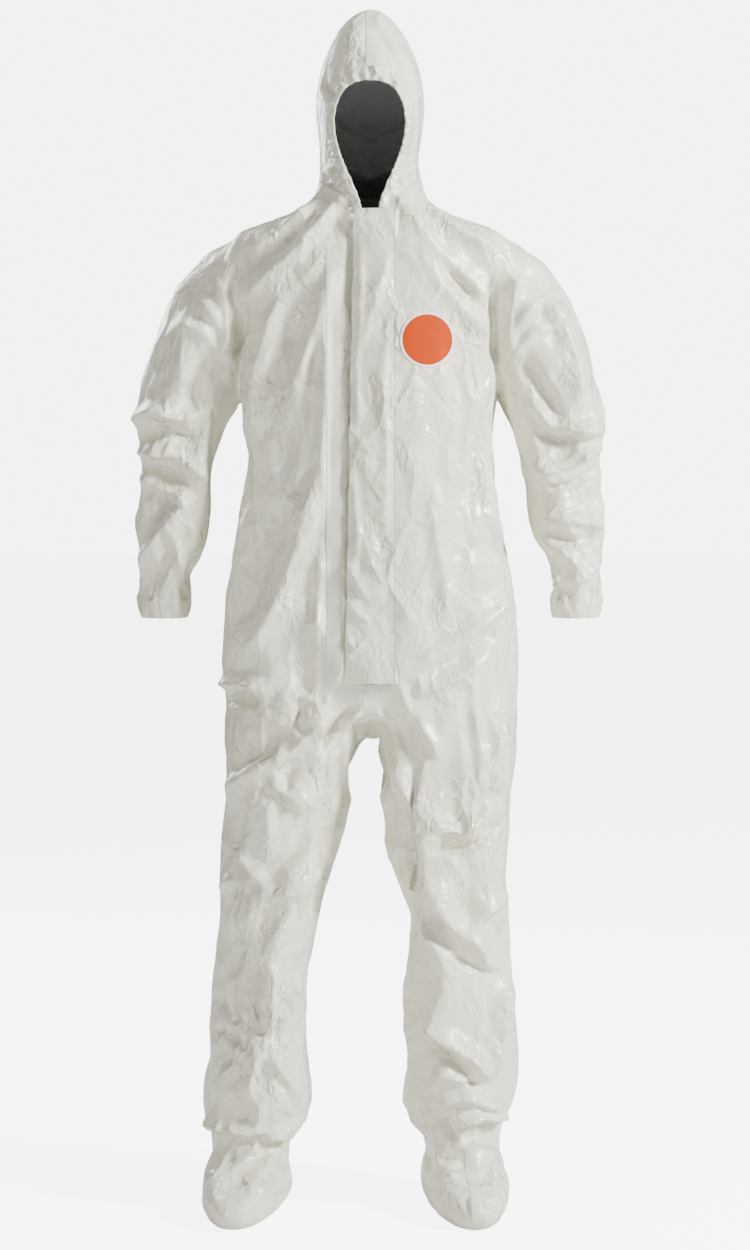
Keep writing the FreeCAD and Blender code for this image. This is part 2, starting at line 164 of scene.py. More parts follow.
def tube(rings):
    """Vertices and faces of a closed, capped tube through the rings."""
    count = len(rings[0])
    verts = [tuple(p) for r in rings for p in r]
    faces = []
    for i in range(len(rings) - 1):
        for j in range(count):
            k = (j + 1) % count
            faces.append((i * count + j, i * count + k, (i + 1) * count + k, (i + 1) * count + j))
    verts.append(tuple(rings[0].mean(0)))
    verts.append(tuple(rings[-1].mean(0)))
    last = (len(rings) - 1) * count
    for j in range(count):
        k = (j + 1) % count
        faces.append((len(verts) - 2, k, j))
        faces.append((len(verts) - 1, last + j, last + k))
    return verts, faces


def base_tubes():
    """The suit's outer shape as overlapping closed tubes."""
    level = ((1, 0, 0), (0, 1, 0))
    trunk = [
        ring_points((0, BODY_Y, z * MM), *level, half * MM, front * MM, back * MM,
                    TRUNK_SQUARE if z < 1560 else LIMB_SQUARE)
        for z, half, front, back in interpolate(TRUNK, 140)
    ]
    tubes = [tube(trunk)]
    for side, sign in SIDES.items():
        sleeve = []
        for x, z, lean, half, depth in interpolate(SLEEVE, 80):
            a = math.radians(lean)
            across = (sign * math.cos(a), 0, math.sin(a))
            centre = (sign * x * MM, BODY_Y, z * MM)
            sleeve.append(ring_points(centre, across, (0, 1, 0), half * MM, depth * MM, depth * MM, 2.0))
        leg = [
            ring_points((sign * x * MM, BODY_Y, z * MM), *level, half * MM, front * MM, back * MM, LIMB_SQUARE)
            for z, x, half, front, back in interpolate(LEGS[side], 80)
        ]
        x, turn = FEET[side]
        a = math.radians(sign * turn)
        foot = ((math.cos(a), math.sin(a), 0), (-math.sin(a), math.cos(a), 0))
        sock = [
            ring_points((x * MM, BODY_Y, z * MM), *foot, half * MM, front * MM, back * MM, LIMB_SQUARE)
            for z, half, front, back in interpolate(SOCK, 40)
        ]
        tubes += [tube(sleeve), tube(leg), tube(sock)]
    return tubes


def mesh_object(name, verts, faces):
    mesh = bpy.data.meshes.new(name)
    mesh.from_pydata([tuple(v) for v in verts], [], [tuple(f) for f in faces])
    mesh.update()
    obj = bpy.data.objects.new(name, mesh)
    bpy.context.scene.collection.objects.link(obj)
    return obj


def coords(mesh, what="co"):
    values = np.empty(len(mesh.vertices) * 3)
    mesh.vertices.foreach_get(what, values)
    return values.reshape(-1, 3)


def normals(mesh):
    return coords(mesh, "normal")


def set_coords(mesh, co):
    mesh.vertices.foreach_set("co", np.ascontiguousarray(co, dtype=np.float32).ravel())
    mesh.update()


def edges_of(mesh):
    e = np.empty(len(mesh.edges) * 2, np.int64)
    mesh.edges.foreach_get("vertices", e)
    return e.reshape(-1, 2)


def relax(co, edges, rounds):
    """Evens a mesh out by moving each point towards the mean of its neighbours."""
    count = np.bincount(edges.ravel(), minlength=len(co)).astype(float)[:, None]
    for _ in range(rounds):
        total = np.zeros_like(co)
        np.add.at(total, edges[:, 0], co[edges[:, 1]])
        np.add.at(total, edges[:, 1], co[edges[:, 0]])
        co = co + (total / np.maximum(count, 1) - co) * 0.5
    return co


def apply_modifiers(obj):
    graph = bpy.context.evaluated_depsgraph_get()
    mesh = bpy.data.meshes.new_from_object(obj.evaluated_get(graph))
    old = obj.data
    obj.modifiers.clear()
    obj.data = mesh
    bpy.data.meshes.remove(old)


def voxel_union(voxel):
    verts = []
    faces = []
    for v, f in base_tubes():
        faces += [tuple(i + len(verts) for i in face) for face in f]
        verts += v
    obj = mesh_object("suit", verts, faces)
    remesh = obj.modifiers.new("union", "REMESH")
    remesh.mode = "VOXEL"
    remesh.voxel_size = voxel
    apply_modifiers(obj)
    co = coords(obj.data)
    set_coords(obj.data, relax(co, edges_of(obj.data), 6))
    return obj


def smooth(low, high, x):
    t = np.clip((x - low) / (high - low), 0, 1)
    return t * t * (3 - 2 * t)


def is_arm(co):
    """Points on the sleeves, which hang clear of the torso below the armpits."""
    ax = np.abs(co[:, 0])
    z = co[:, 2]
    heights = [0.90, 0.95, 1.02, 1.09, 1.15, 1.21, 1.27, 1.30]
    edge = np.interp(z, heights, [0.270, 0.262, 0.245, 0.233, 0.223, 0.221, 0.206, 0.197])
    return (ax > edge) & (z > 0.90) & (z < 1.535)


def limb_middle(co, arm):
    x = co[:, 0]
    z = co[:, 2]
    leg = (z < 0.766) & ~arm
    right = np.interp(z, [0.0, 0.2, 0.4, 0.6, 0.77], [-0.190, -0.182, -0.171, -0.146, -0.123])
    left = np.interp(z, [0.0, 0.2, 0.4, 0.6, 0.77], [0.148, 0.145, 0.145, 0.124, 0.123])
    middle = np.where(leg, np.where(x < 0, right, left), 0.0)
    sleeve = np.interp(z, [0.93, 1.0, 1.1, 1.2, 1.3, 1.4], [0.323, 0.324, 0.316, 0.308, 0.283, 0.240])
    return np.where(arm, np.sign(x) * sleeve, middle)


def drape(obj, frames):
    """Lets the film, cut longer than the wearer's limbs, sink and crumple under its own weight."""
    co = coords(obj.data)
    edges = edges_of(obj.data)
    faces = [tuple(p.vertices) for p in obj.data.polygons]
    wearer = mesh_object("wearer", co, faces)
    set_coords(wearer.data, relax(co - normals(obj.data) * 0.017, edges, 10))
    wearer.modifiers.new("collision", "COLLISION")
    wearer.collision.thickness_outer = 0.004
    wearer.collision.cloth_friction = 8
    arm = is_arm(co)
    z = co[:, 2]
    legs = np.interp(z, [0, 0.10, 0.13, 0.22, 0.38, 0.56, 0.70, 0.80],
                     [0.165, 0.165, 0.155, 0.105, 0.075, 0.045, 0.02, 0])
    trunk = np.interp(z, [0.80, 0.95, 1.10, 1.25, 1.45], [0.030, 0.022, 0.015, 0.008, 0])
    arms = np.interp(z, [0.92, 0.96, 1.05, 1.12, 1.26, 1.36, 1.45],
                     [0.125, 0.110, 0.090, 0.075, 0.02, 0.005, 0])
    rest = co.copy()
    rest[:, 2] -= np.where(arm, arms, np.where(z < 0.80, legs + 0.03, trunk))
    middle = limb_middle(co, arm)
    wide = np.where(arm | (z < 0.766), 1.035, 1.01)
    rest[:, 0] = middle + (co[:, 0] - middle) * wide
    rest[:, 1] = BODY_Y + (co[:, 1] - BODY_Y) * wide
    obj.shape_key_add(name="Basis")
    key = obj.shape_key_add(name="cut size")
    key.data.foreach_set("co", rest.astype(np.float32).ravel())
    key.value = 0.0
    pin = smooth(1.42, 1.56, z) * ~arm
    pin = np.maximum(pin, 0.9 * smooth(0.80, 0.90, z) * ~arm * (np.abs(co[:, 0]) < 0.05))
    pin = np.maximum(pin, np.where(arm, 1 - smooth(0.945, 0.965, z), 1 - smooth(0.04, 0.075, z)))
    group = obj.vertex_groups.new(name="pin")
    for i in np.nonzero(pin > 0.001)[0]:
        group.add([int(i)], float(pin[i]), "REPLACE")
    cloth = obj.modifiers.new("cloth", "CLOTH")
    cloth.settings.rest_shape_key = key
    cloth.settings.effector_weights.gravity = 0.5
    for setting, value in (
        ("quality", 5), ("mass", 0.25), ("air_damping", 2.0), ("tension_stiffness", 45),
        ("compression_stiffness", 45), ("shear_stiffness", 22), ("bending_stiffness", 0.3),
        ("tension_damping", 8), ("compression_damping", 8), ("shear_damping", 8),
        ("bending_damping", 0.6), ("vertex_group_mass", "pin"), ("pin_stiffness", 1.0),
    ):
        setattr(cloth.settings, setting, value)
    cloth.collision_settings.collision_quality = 2
    cloth.collision_settings.distance_min = 0.003
    cloth.collision_settings.use_self_collision = False
    cloth.point_cache.frame_start = 1
    cloth.point_cache.frame_end = frames
    scene = bpy.context.scene
    for f in range(1, frames + 1):
        scene.frame_set(f)
    graph = bpy.context.evaluated_depsgraph_get()
    mesh = bpy.data.meshes.new_from_object(obj.evaluated_get(graph))
    new = coords(mesh)
    obj.modifiers.clear()
    obj.shape_key_clear()
    bpy.data.meshes.remove(mesh)
    bpy.data.objects.remove(wearer)
    scene.frame_set(1)
    return new


# Folds in millimetres: height, width of the steep and the gentle side, then x and z of each point
# that the crest follows. A crest is a sharp line between two flat slopes; a negative height is a crease.
FRONT_FOLDS = [
    # from the neck to the right armpit
    (9, 18, 30, -40, 1585, -62, 1545, -100, 1505, -160, 1450, -205, 1405),
    (6, 12, 18, -70, 1600, -100, 1548, -150, 1510, -195, 1490),
    (-5, 10, 14, -55, 1590, -85, 1540, -140, 1490),
    (10, 26, 45, -50, 1525, -140, 1420, -165, 1320, -180, 1220, -190, 1130),
    (8, 24, 40, -55, 1500, -65, 1430, -95, 1340, -135, 1250, -160, 1150),
    (6, 10, 22, -68, 1440, -64, 1300, -72, 1180, -70, 1080),
    (-6, 18, 18, -75, 1500, -125, 1440, -170, 1390),
    (-5, 16, 22, -110, 1400, -120, 1300, -150, 1190),
    # from the neck to the left armpit
    (8, 20, 32, 42, 1585, 62, 1540, 108, 1485, 160, 1437, 195, 1400),
    (6, 12, 18, 70, 1600, 102, 1548, 150, 1512, 198, 1495),
    (-5, 10, 14, 56, 1590, 84, 1535, 135, 1480),
    (6, 20, 30, 60, 1510, 100, 1450, 150, 1395, 190, 1350),
    (-5, 14, 20, 70, 1520, 120, 1462, 165, 1415),
    (5, 16, 30, 180, 1300, 150, 1220, 140, 1120),
    # armpits
    (-8, 14, 18, -190, 1420, -198, 1370, -203, 1320),
    (-8, 12, 16, 188, 1470, 190, 1400, 196, 1310),
    (6, 14, 18, -212, 1335, -235, 1385, -262, 1430),
    (6, 12, 18, -214, 1345, -225, 1410, -232, 1465),
    (5, 12, 18, -216, 1325, -255, 1370, -300, 1385),
    (6, 14, 18, 208, 1330, 232, 1385, 270, 1430),
    (6, 12, 18, 208, 1345, 222, 1410, 228, 1470),
    (5, 12, 18, 212, 1325, 250, 1365, 300, 1390),
    # right sleeve
    (6, 22, 34, -262, 1420, -285, 1350, -292, 1270),
    (-6, 16, 22, -245, 1345, -270, 1290, -275, 1230),
    (9, 12, 24, -378, 1225, -335, 1245, -290, 1235, -252, 1255),
    (-7, 12, 16, -372, 1200, -320, 1215, -262, 1205),
    (8, 10, 22, -372, 1190, -300, 1178, -250, 1140),
    (-7, 12, 14, -365, 1165, -310, 1150, -262, 1122),
    (6, 14, 20, -360, 1150, -330, 1130, -280, 1105),
    (6, 14, 24, -262, 1125, -310, 1080, -345, 1030, -362, 985),
    (-5, 14, 18, -275, 1070, -310, 1030, -335, 975),
    (5, 12, 20, -315, 1080, -300, 1030, -292, 980),
    # left sleeve
    (7, 22, 30, 262, 1440, 300, 1380, 318, 1310, 322, 1250),
    (-6, 16, 20, 235, 1330, 262, 1285, 290, 1240),
    (7, 12, 22, 240, 1270, 280, 1225, 340, 1215, 378, 1225),
    (-7, 12, 16, 248, 1215, 300, 1195, 365, 1200),
    (9, 10, 22, 245, 1150, 285, 1158, 330, 1176, 368, 1205),
    (-6, 12, 14, 262, 1125, 320, 1138, 368, 1165),
    (6, 10, 22, 258, 1084, 320, 1078, 372, 1068),
    (-6, 12, 18, 262, 1060, 310, 1045, 365, 1050),
    (7, 12, 22, 275, 972, 325, 990, 368, 1018),
    (5, 12, 20, 292, 1040, 318, 1010, 345, 970),
    # right side of the body, falling to the hip
    (9, 30, 50, -72, 1180, -112, 1030, -152, 925, -215, 835),
    (-8, 34, 40, -130, 1120, -165, 1000, -200, 900),
    (7, 24, 30, -192, 1110, -222, 970, -236, 880),
    (11, 10, 26, -250, 812, -222, 824, -190, 826, -155, 810),
    (-8, 12, 14, -248, 792, -205, 802, -165, 795),
    (5, 12, 22, -70, 1060, -76, 980, -78, 890),
    (4, 10, 14, -150, 800, -110, 812, -80, 800),
    # left side of the body
    (5, 16, 28, 60, 1300, 64, 1180, 60, 1060, 64, 960),
    (5, 18, 30, 85, 1180, 95, 1080, 115, 980, 118, 900),
    (-5, 24, 30, 75, 1120, 80, 1000, 90, 900),
    (8, 16, 34, 50, 852, 120, 884, 190, 934, 235, 975),
    (5, 14, 26, 60, 812, 130, 835, 200, 880),
    (-6, 14, 24, 60, 836, 130, 862, 205, 915),
    (6, 18, 34, 180, 1200, 188, 1100, 205, 1020),
    # crotch
    (6, 10, 24, 42, 840, 52, 800, 85, 755, 112, 700),
    (6, 10, 20, -58, 820, -75, 785, -108, 770),
    (-6, 10, 12, -104, 795, -112, 770, -100, 745),
    (-6, 10, 12, -12, 800, -50, 770, -80, 720),
    (-5, 10, 12, 12, 800, 40, 765, 60, 715),
    # right thigh and knee
    (10, 16, 40, -50, 795, -107, 735, -167, 696, -212, 661, -240, 635),
    (-9, 16, 24, -110, 760, -180, 715, -235, 675),
    (7, 10, 26, -160, 682, -128, 652, -104, 635),
    (5, 10, 20, -60, 740, -90, 690, -130, 660),
    (7, 10, 20, -240, 600, -218, 572, -190, 548, -155, 503),
    (-6, 10, 14, -235, 580, -212, 552, -185, 522),
    (8, 16, 36, -80, 540, -129, 507, -177, 476, -200, 430),
    (7, 20, 36, -60, 590, -105, 515, -143, 440, -160, 385),
    (-6, 16, 22, -85, 600, -140, 545, -190, 510),
    (8, 12, 22, -252, 488, -235, 500, -205, 525),
    # left thigh and knee
    (9, 20, 46, 18, 724, 67, 640, 85, 581, 103, 460),
    (9, 8, 24, 85, 580, 105, 606, 145, 594, 204, 648),
    (-9, 8, 26, 88, 570, 150, 568, 185, 580, 212, 620),
    (10, 14, 40, 18, 610, 50, 545, 138, 436, 208, 388),
    (-9, 14, 24, 40, 515, 120, 420, 185, 372),
    (8, 14, 34, 226, 535, 198, 486, 140, 438),
    (6, 10, 20, 222, 525, 208, 480, 201, 426),
    (6, 12, 22, 54, 531, 68, 479, 112, 400),
    (6, 18, 30, 200, 760, 190, 700, 205, 650),
    # right shin
    (-8, 12, 20, -174, 402, -185, 328, -159, 264),
    (7, 12, 30, -150, 400, -150, 330, -157, 264),
    (-6, 10, 18, -110, 345, -132, 308, -158, 264),
    (8, 10, 22, -159, 260, -175, 240, -188, 175),
    (7, 10, 22, -159, 248, -126, 200, -108, 165),
    (-5, 10, 14, -250, 342, -222, 312, -176, 280),
    (-5, 10, 14, -246, 285, -215, 275, -190, 250),
    (12, 7, 30, -268, 150, -238, 130, -200, 124, -172, 118),
    (8, 8, 22, -172, 118, -135, 122, -100, 124),
    (7, 10, 18, -169, 185, -171, 150, -173, 118),
    # left shin
    (11, 12, 34, 75, 310, 100, 280, 148, 244, 192, 200),
    (-9, 12, 18, 80, 278, 130, 238, 175, 190),
    (8, 12, 30, 192, 202, 213, 310, 210, 372),
    (7, 10, 26, 111, 419, 160, 400, 212, 372),
    (7, 10, 20, 94, 223, 130, 212, 178, 212),
    (8, 10, 20, 100, 163, 140, 182, 180, 168, 218, 160),
    (11, 7, 26, 128, 136, 165, 146, 206, 146, 225, 150),
    (8, 10, 20, 52, 330, 62, 290, 56, 240, 60, 200),
    (-7, 10, 12, 110, 150, 116, 128, 135, 112),
    # neck and hood
    (4, 8, 12, -80, 1600, -55, 1585, -38, 1560),
    (4, 8, 12, -82, 1625, -58, 1612, -42, 1580),
    (-4, 8, 10, -85, 1612, -60, 1598, -40, 1570),
    (4, 8, 12, 80, 1602, 55, 1585, 40, 1558),
    (4, 8, 12, 80, 1640, 60, 1615, 42, 1585),
    (-4, 8, 10, 84, 1620, 60, 1600, 42, 1572),
    (3, 10, 14, 26, 1870, 14, 1856, 12, 1835),
    (-3, 8, 12, -75, 1760, -60, 1735, -56, 1700),
]
BACK_FOLDS = [
    (9, 26, 42, -40, 1530, -110, 1470, -180, 1400),
    (9, 26, 42, 50, 1530, 115, 1462, 185, 1390),
    (8, 24, 46, -30, 1500, -85, 1380, -110, 1250, -160, 1140),
    (8, 24, 46, 20, 1490, 70, 1370, 120, 1260, 150, 1130),
    (-7, 22, 30, 0, 1480, 12, 1340, 0, 1200),
    (-7, 20, 26, -120, 1440, -150, 1330, -170, 1240),
    (-7, 20, 26, 125, 1430, 155, 1320, 172, 1230),
    (9, 16, 34, -190, 1130, -120, 1105, -40, 1120),
    (8, 16, 34, 190, 1115, 120, 1085, 35, 1095),
    (-7, 16, 24, -150, 1075, -60, 1065, 50, 1060),
    (8, 24, 44, -60, 1050, -110, 950, -190, 870),
    (8, 24, 44, 50, 1040, 105, 940, 200, 880),
    (10, 14, 40, -215, 800, -130, 765, -30, 790),
    (10, 14, 40, 220, 790, 130, 755, 30, 790),
    (-9, 14, 24, -200, 765, -120, 735, -50, 750),
    (-9, 14, 24, 200, 755, 120, 725, 50, 750),
    (-6, 12, 20, -5, 960, 4, 880, 0, 800),
    (8, 18, 36, -60, 700, -130, 620, -200, 560),
    (8, 18, 36, 50, 700, 110, 620, 180, 570),
    (10, 14, 34, -235, 480, -165, 455, -95, 485),
    (10, 14, 34, 220, 490, 150, 460, 70, 485),
    (-9, 12, 22, -230, 445, -165, 425, -100, 450),
    (-9, 12, 22, 215, 455, 150, 430, 75, 450),
    (8, 14, 32, -110, 420, -160, 350, -225, 300),
    (8, 14, 32, 80, 420, 140, 350, 200, 290),
    (9, 12, 28, -240, 215, -175, 190, -115, 210),
    (9, 12, 28, 215, 205, 150, 185, 80, 215),
    (-8, 10, 18, -240, 180, -175, 160, -115, 175),
    (-8, 10, 18, 215, 172, 150, 155, 80, 178),
    (7, 16, 28, -225, 1430, -290, 1360, -330, 1280),
    (7, 16, 28, 225, 1430, 290, 1360, 330, 1280),
    (9, 12, 26, -370, 1215, -310, 1190, -255, 1205),
    (9, 12, 26, 370, 1215, 310, 1190, 255, 1205),
    (-8, 10, 18, -368, 1170, -310, 1155, -258, 1165),
    (-8, 10, 18, 368, 1170, 310, 1155, 258, 1165),
    (7, 14, 26, -275, 1110, -320, 1050, -350, 990),
    (7, 14, 26, 275, 1110, 320, 1050, 350, 990),
    (-6, 14, 20, -55, 1640, 0, 1615, 55, 1640),
    (7, 14, 24, -60, 1600, 0, 1585, 60, 1600),
    (6, 16, 26, -60, 1720, 0, 1690, 60, 1715),
]


def crest(t):
    """A sharp line at 0 that falls away in a nearly flat slope to nothing at 1."""
    t = np.clip(t, 0, 1)
    return (1 - t) ** 1.6 * (1 + 0.35 * t)


def fold_heights(co, folds, facing):
    """Sum of the folds over points seen square on, where facing is how far they face that way."""
    total = np.zeros(len(co))
    x = co[:, 0]
    z = co[:, 2]
    for high, narrow, wide, *path in folds:
        high, narrow, wide = high / 1000, narrow / 1000, wide / 1000
        points = np.array(path).reshape(-1, 2) / 1000
        lengths = np.linalg.norm(np.diff(points, axis=0), axis=1)
        whole = lengths.sum()
        low = points.min(0) - wide
        top = points.max(0) + wide
        near = (x > low[0]) & (x < top[0]) & (z > low[1]) & (z < top[1]) & (facing > 0)
        if not near.any():
            continue
        px = x[near]
        pz = z[near]
        best = np.full(len(px), 1e9)
        along = np.zeros(len(px))
        side = np.ones(len(px))
        run = 0.0
        for (a, b), length in zip(zip(points[:-1], points[1:]), lengths):
            dx, dz = (b - a) / length
            t = np.clip((px - a[0]) * dx + (pz - a[1]) * dz, 0, length)
            ex = px - a[0] - dx * t
            ez = pz - a[1] - dz * t
            away = np.hypot(ex, ez)
            closer = away < best
            best = np.where(closer, away, best)
            along = np.where(closer, run + t, along)
            side = np.where(closer, np.sign(dx * ez - dz * ex), side)
            run += length
        # the sharper side of a fold is its lower side
        leans = np.sign(points[-1][0] - points[0][0] or 1.0)
        reach = np.where(side * leans > 0, wide, narrow)
        ends = smooth(0, 0.22, along / whole) * smooth(0, 0.22, 1 - along / whole)
        total[near] += high * crest(best / reach) * ends * facing[near]
    return total


def facets(co, size, stretch, seed, warp=0.35):
    """Film crumples into flat facets that meet in sharp lines: distance to the nearest of scattered points."""
    out = np.empty(len(co))
    shift = Vector((seed * 7.3, seed * 3.1, seed * 5.7))
    scale = Vector((1 / size, 1 / size, 1 / (size * stretch)))
    for i, p in enumerate(co):
        q = Vector((p[0] * scale[0], p[1] * scale[1], p[2] * scale[2])) + shift
        w = noise.noise_vector(q * 0.6) * warp
        d = noise.voronoi(q + w)[0]
        out[i] = d[0] - d[1]
    return out - out.mean()


def rough(co, size, seed):
    out = np.empty(len(co))
    shift = Vector((seed * 4.1, seed * 9.3, seed * 2.9))
    for i, p in enumerate(co):
        out[i] = noise.noise(Vector(p) / size + shift)
    return out


# Face opening: height and half width of the elastic's inner edge.
FACE = [
    (1.755, 0.0), (1.753, 0.031), (1.735, 0.048), (1.707, 0.056), (1.679, 0.056), (1.648, 0.049),
    (1.620, 0.037), (1.594, 0.024), (1.570, 0.014), (1.552, 0.0115),
]
FACE_TOP = 1.755
FACE_FOOT = 1.552
NECK_LOW = 1.545
NECK_HIGH = 1.620
ARMHOLE_X = 0.197
ELBOW_HIGH = 1.220
ELBOW_LOW = 1.100
CUFF_HIGH = 0.950
CUFF_LOW = 0.926
GROIN_Z = 0.790
THIGH_Z = 0.595
FOLD_LEAN = math.radians(35)
SLOPE = math.tan(FOLD_LEAN)
KNEE_HIGH = 0.565
KNEE_LOW = 0.375
ANKLE_Z = 0.130
SOLE_Z = 0.012
ZIP_HALF = 0.008
ZIP_LOW = 0.858
FLAP_LOW = 0.831
FLAP_HIGH = 1.556
SLEEVE_CUT = (math.cos(FOLD_LEAN), math.sin(FOLD_LEAN))
SLEEVE_END = -0.502


def face_half(z):
    heights = [row[0] for row in reversed(FACE)]
    halves = [row[1] for row in reversed(FACE)]
    return np.interp(z, heights, halves, left=0, right=0)


def face_distance(x, z):
    """How far points on the front of the hood lie outside the face opening's edge."""
    outline = np.array(FACE)
    left = np.column_stack([outline[:, 1], outline[:, 0]])
    right = left[::-1] * (-1, 1)
    loop = np.vstack([left, right])
    best = np.full(len(x), 1e9)
    for a, b in zip(loop, np.roll(loop, -1, axis=0)):
        run = b - a
        length = np.hypot(*run)
        if length < 1e-9:
            continue
        t = np.clip(((x - a[0]) * run[0] + (z - a[1]) * run[1]) / length**2, 0, 1)
        best = np.minimum(best, np.hypot(x - a[0] - run[0] * t, z - a[1] - run[1] * t))
    inside = np.abs(x) < face_half(z)
    return np.where(inside, -best, best)


def crumple(co, no):
    """Moves the surface along its normals into folds, facets and gathers."""
    x = co[:, 0]
    y = co[:, 1]
    z = co[:, 2]
    arm = is_arm(co)
    front = smooth(0.05, 0.55, -no[:, 1])
    back = smooth(0.05, 0.55, no[:, 1])
    # folds sink towards the sides, where a crest would stand up like a thorn
    high = FOLD_GAIN * (fold_heights(co, FRONT_FOLDS, front**1.7) + fold_heights(co, BACK_FOLDS, back**1.7))
    # packing creases, across the body and sleeves
    for level, size in ((1.255, 0.0022), (1.015, 0.0025), (0.640, 0.0018), (0.340, 0.0018)):
        wavy = level + 0.004 * np.sin(x * 23)
        high += size * crest(np.abs(z - wavy) / 0.014) * (0.5 + 0.5 * np.sin(x * 31 + level * 40))
    big = facets(co, 0.085, 1.9, 3)
    small = facets(co, 0.030, 1.4, 8)
    patch = smooth(-0.25, 0.35, rough(co, 0.16, 2))
    calm = 1.0 - 0.75 * np.exp(-(((x - BADGE_X) / 0.055) ** 2 + ((z - BADGE_Z) / 0.055) ** 2) * 0.5) * front
    limb = np.where(arm | (z < 0.78), 1.0, 0.62)
    hood = smooth(1.60, 1.68, z)
    high += big * BIG_FACET * limb * calm * (1 - 0.72 * hood)
    high += small * SMALL_FACET * (0.25 + 0.75 * patch) * calm * (1 - 0.55 * hood)
    # gathers that run out from the face elastic
    edge = face_distance(x, z)
    around = np.arctan2(x, z - 1.655)
    pleats = np.abs(np.sin(around * 15 + 1.7 * np.sin(around * 5))) - 0.45
    at_face = np.exp(-np.clip(edge, 0, 1) / 0.017) * front * smooth(1.50, 1.60, z)
    high += at_face * pleats * FACE_PLEAT
    # gathers above the cuff elastic
    middle = limb_middle(co, arm)
    turn = np.arctan2(y - BODY_Y, x - middle)
    pleats = np.abs(np.sin(turn * 5.5 + 0.8 * np.sin(turn * 3 + np.sign(x)))) - 0.45
    at_cuff = np.where(arm, np.exp(-(((z - 0.950) / 0.026) ** 2)), 0)
    high += at_cuff * pleats * CUFF_PLEAT
    # the hem stays outside its elastic, and scallops below it
    high = np.where(arm & (z < 0.957), np.maximum(high, 0.0008 + 0.0035 * np.abs(np.sin(turn * 5.5))), high)
    # the closure lies flat under the flap, and soles lie flat on the floor
    under = 1 - np.exp(-((np.clip(np.abs(x) - 0.026, 0, 1) / 0.014) ** 2))
    shut = np.where((z > 0.83) & (z < 1.56), smooth(0.55, 0.8, -no[:, 1]) * (1 - under), 0)
    high *= 1 - shut
    # the film beside the flap rises to meet it
    beside = front * smooth(0.80, 0.86, z) * (1 - smooth(1.50, 1.56, z)) * ~arm
    high += beside * 0.0065 * smooth(0.026, 0.042, -x) * (1 - smooth(0.05, 0.12, -x))
    high *= smooth(0.004, 0.030, z)
    high = np.where(high > 0, high, high * 1.1)
    out = co + no * np.clip(high, -0.024, 0.021)[:, None]
    meet = beside * smooth(0.025, 0.037, x) * (1 - smooth(0.048, 0.150, x))
    out[:, 1] += np.minimum(CHEST_Y - out[:, 1], 0) * meet
    return out


def sharpen(co, edges, rounds, amount, weight):
    soft = relax(co, edges, rounds)
    return co + (co - soft) * amount * weight[:, None]


def flatten_facets(mesh, rounds, spread):
    """Evens out each facet's slope but keeps the creases between facets, as stiff film does."""
    co = coords(mesh)
    quads = np.empty(len(mesh.polygons) * 4, np.int64)
    mesh.polygons.foreach_get("vertices", quads)
    quads = quads.reshape(-1, 4)
    ends = np.sort(np.stack([quads, np.roll(quads, -1, axis=1)], axis=2).reshape(-1, 2), axis=1)
    owner = np.repeat(np.arange(len(quads)), 4)
    order = np.lexsort((ends[:, 1], ends[:, 0]))
    ends = ends[order]
    owner = owner[order]
    pairs = np.nonzero((ends[1:] == ends[:-1]).all(axis=1))[0]
    first = owner[pairs]
    second = owner[pairs + 1]
    count = len(quads)
    face_no = np.cross(co[quads[:, 2]] - co[quads[:, 0]], co[quads[:, 3]] - co[quads[:, 1]])
    face_no /= np.linalg.norm(face_no, axis=1)[:, None] + 1e-12
    for _ in range(rounds):
        gap = ((face_no[first] - face_no[second]) ** 2).sum(1)
        weight = np.exp(-gap / (2 * spread * spread))
        total = face_no.copy()
        for k in range(3):
            total[:, k] += np.bincount(first, weight * face_no[second, k], count)
            total[:, k] += np.bincount(second, weight * face_no[first, k], count)
        face_no = total / (np.linalg.norm(total, axis=1)[:, None] + 1e-12)
    corner = quads.ravel()
    around = np.repeat(np.arange(count), 4)
    shared = np.bincount(corner, minlength=len(co))
    for _ in range(rounds):
        centre = co[quads].mean(1)
        lift = (face_no[around] * (centre[around] - co[corner])).sum(1)
        for k in range(3):
            co[:, k] += np.bincount(corner, lift * face_no[around, k], len(co)) / shared
    set_coords(mesh, co)


def make_surface():
    obj = voxel_union(VOXEL)
    base = coords(obj.data)
    edges = edges_of(obj.data)
    new = drape(obj, DRAPE_FRAMES)
    arm = is_arm(base)
    z = base[:, 2]
    front_middle = (base[:, 1] < BODY_Y) * np.exp(-((base[:, 0] / 0.06) ** 2)) * smooth(0.80, 0.86, z)
    share = np.where(arm, 1.0, 1 - 0.6 * smooth(0.78, 0.95, z)) * (1 - np.where(arm, 0, front_middle))
    step = new - base
    step = relax(step, edges, 1)
    length = np.linalg.norm(step, axis=1)[:, None]
    step *= np.minimum(1, 0.032 / np.maximum(length, 1e-9))
    new = base + step * share[:, None]
    set_coords(obj.data, sharpen(new, edges, 3, 0.8, share * smooth(0.02, 0.09, z)))
    smoother = obj.modifiers.new("finer", "SUBSURF")
    smoother.levels = 1
    apply_modifiers(obj)
    mesh = obj.data
    co = coords(mesh)
    edges = edges_of(mesh)
    soft = normals(mesh)
    for _ in range(4):
        total = np.zeros_like(soft)
        np.add.at(total, edges[:, 0], soft[edges[:, 1]])
        np.add.at(total, edges[:, 1], soft[edges[:, 0]])
        soft = soft + total
        soft /= np.linalg.norm(soft, axis=1)[:, None]
    set_coords(mesh, crumple(co, soft))
    flatten_facets(mesh, 7, 0.16)
    return obj


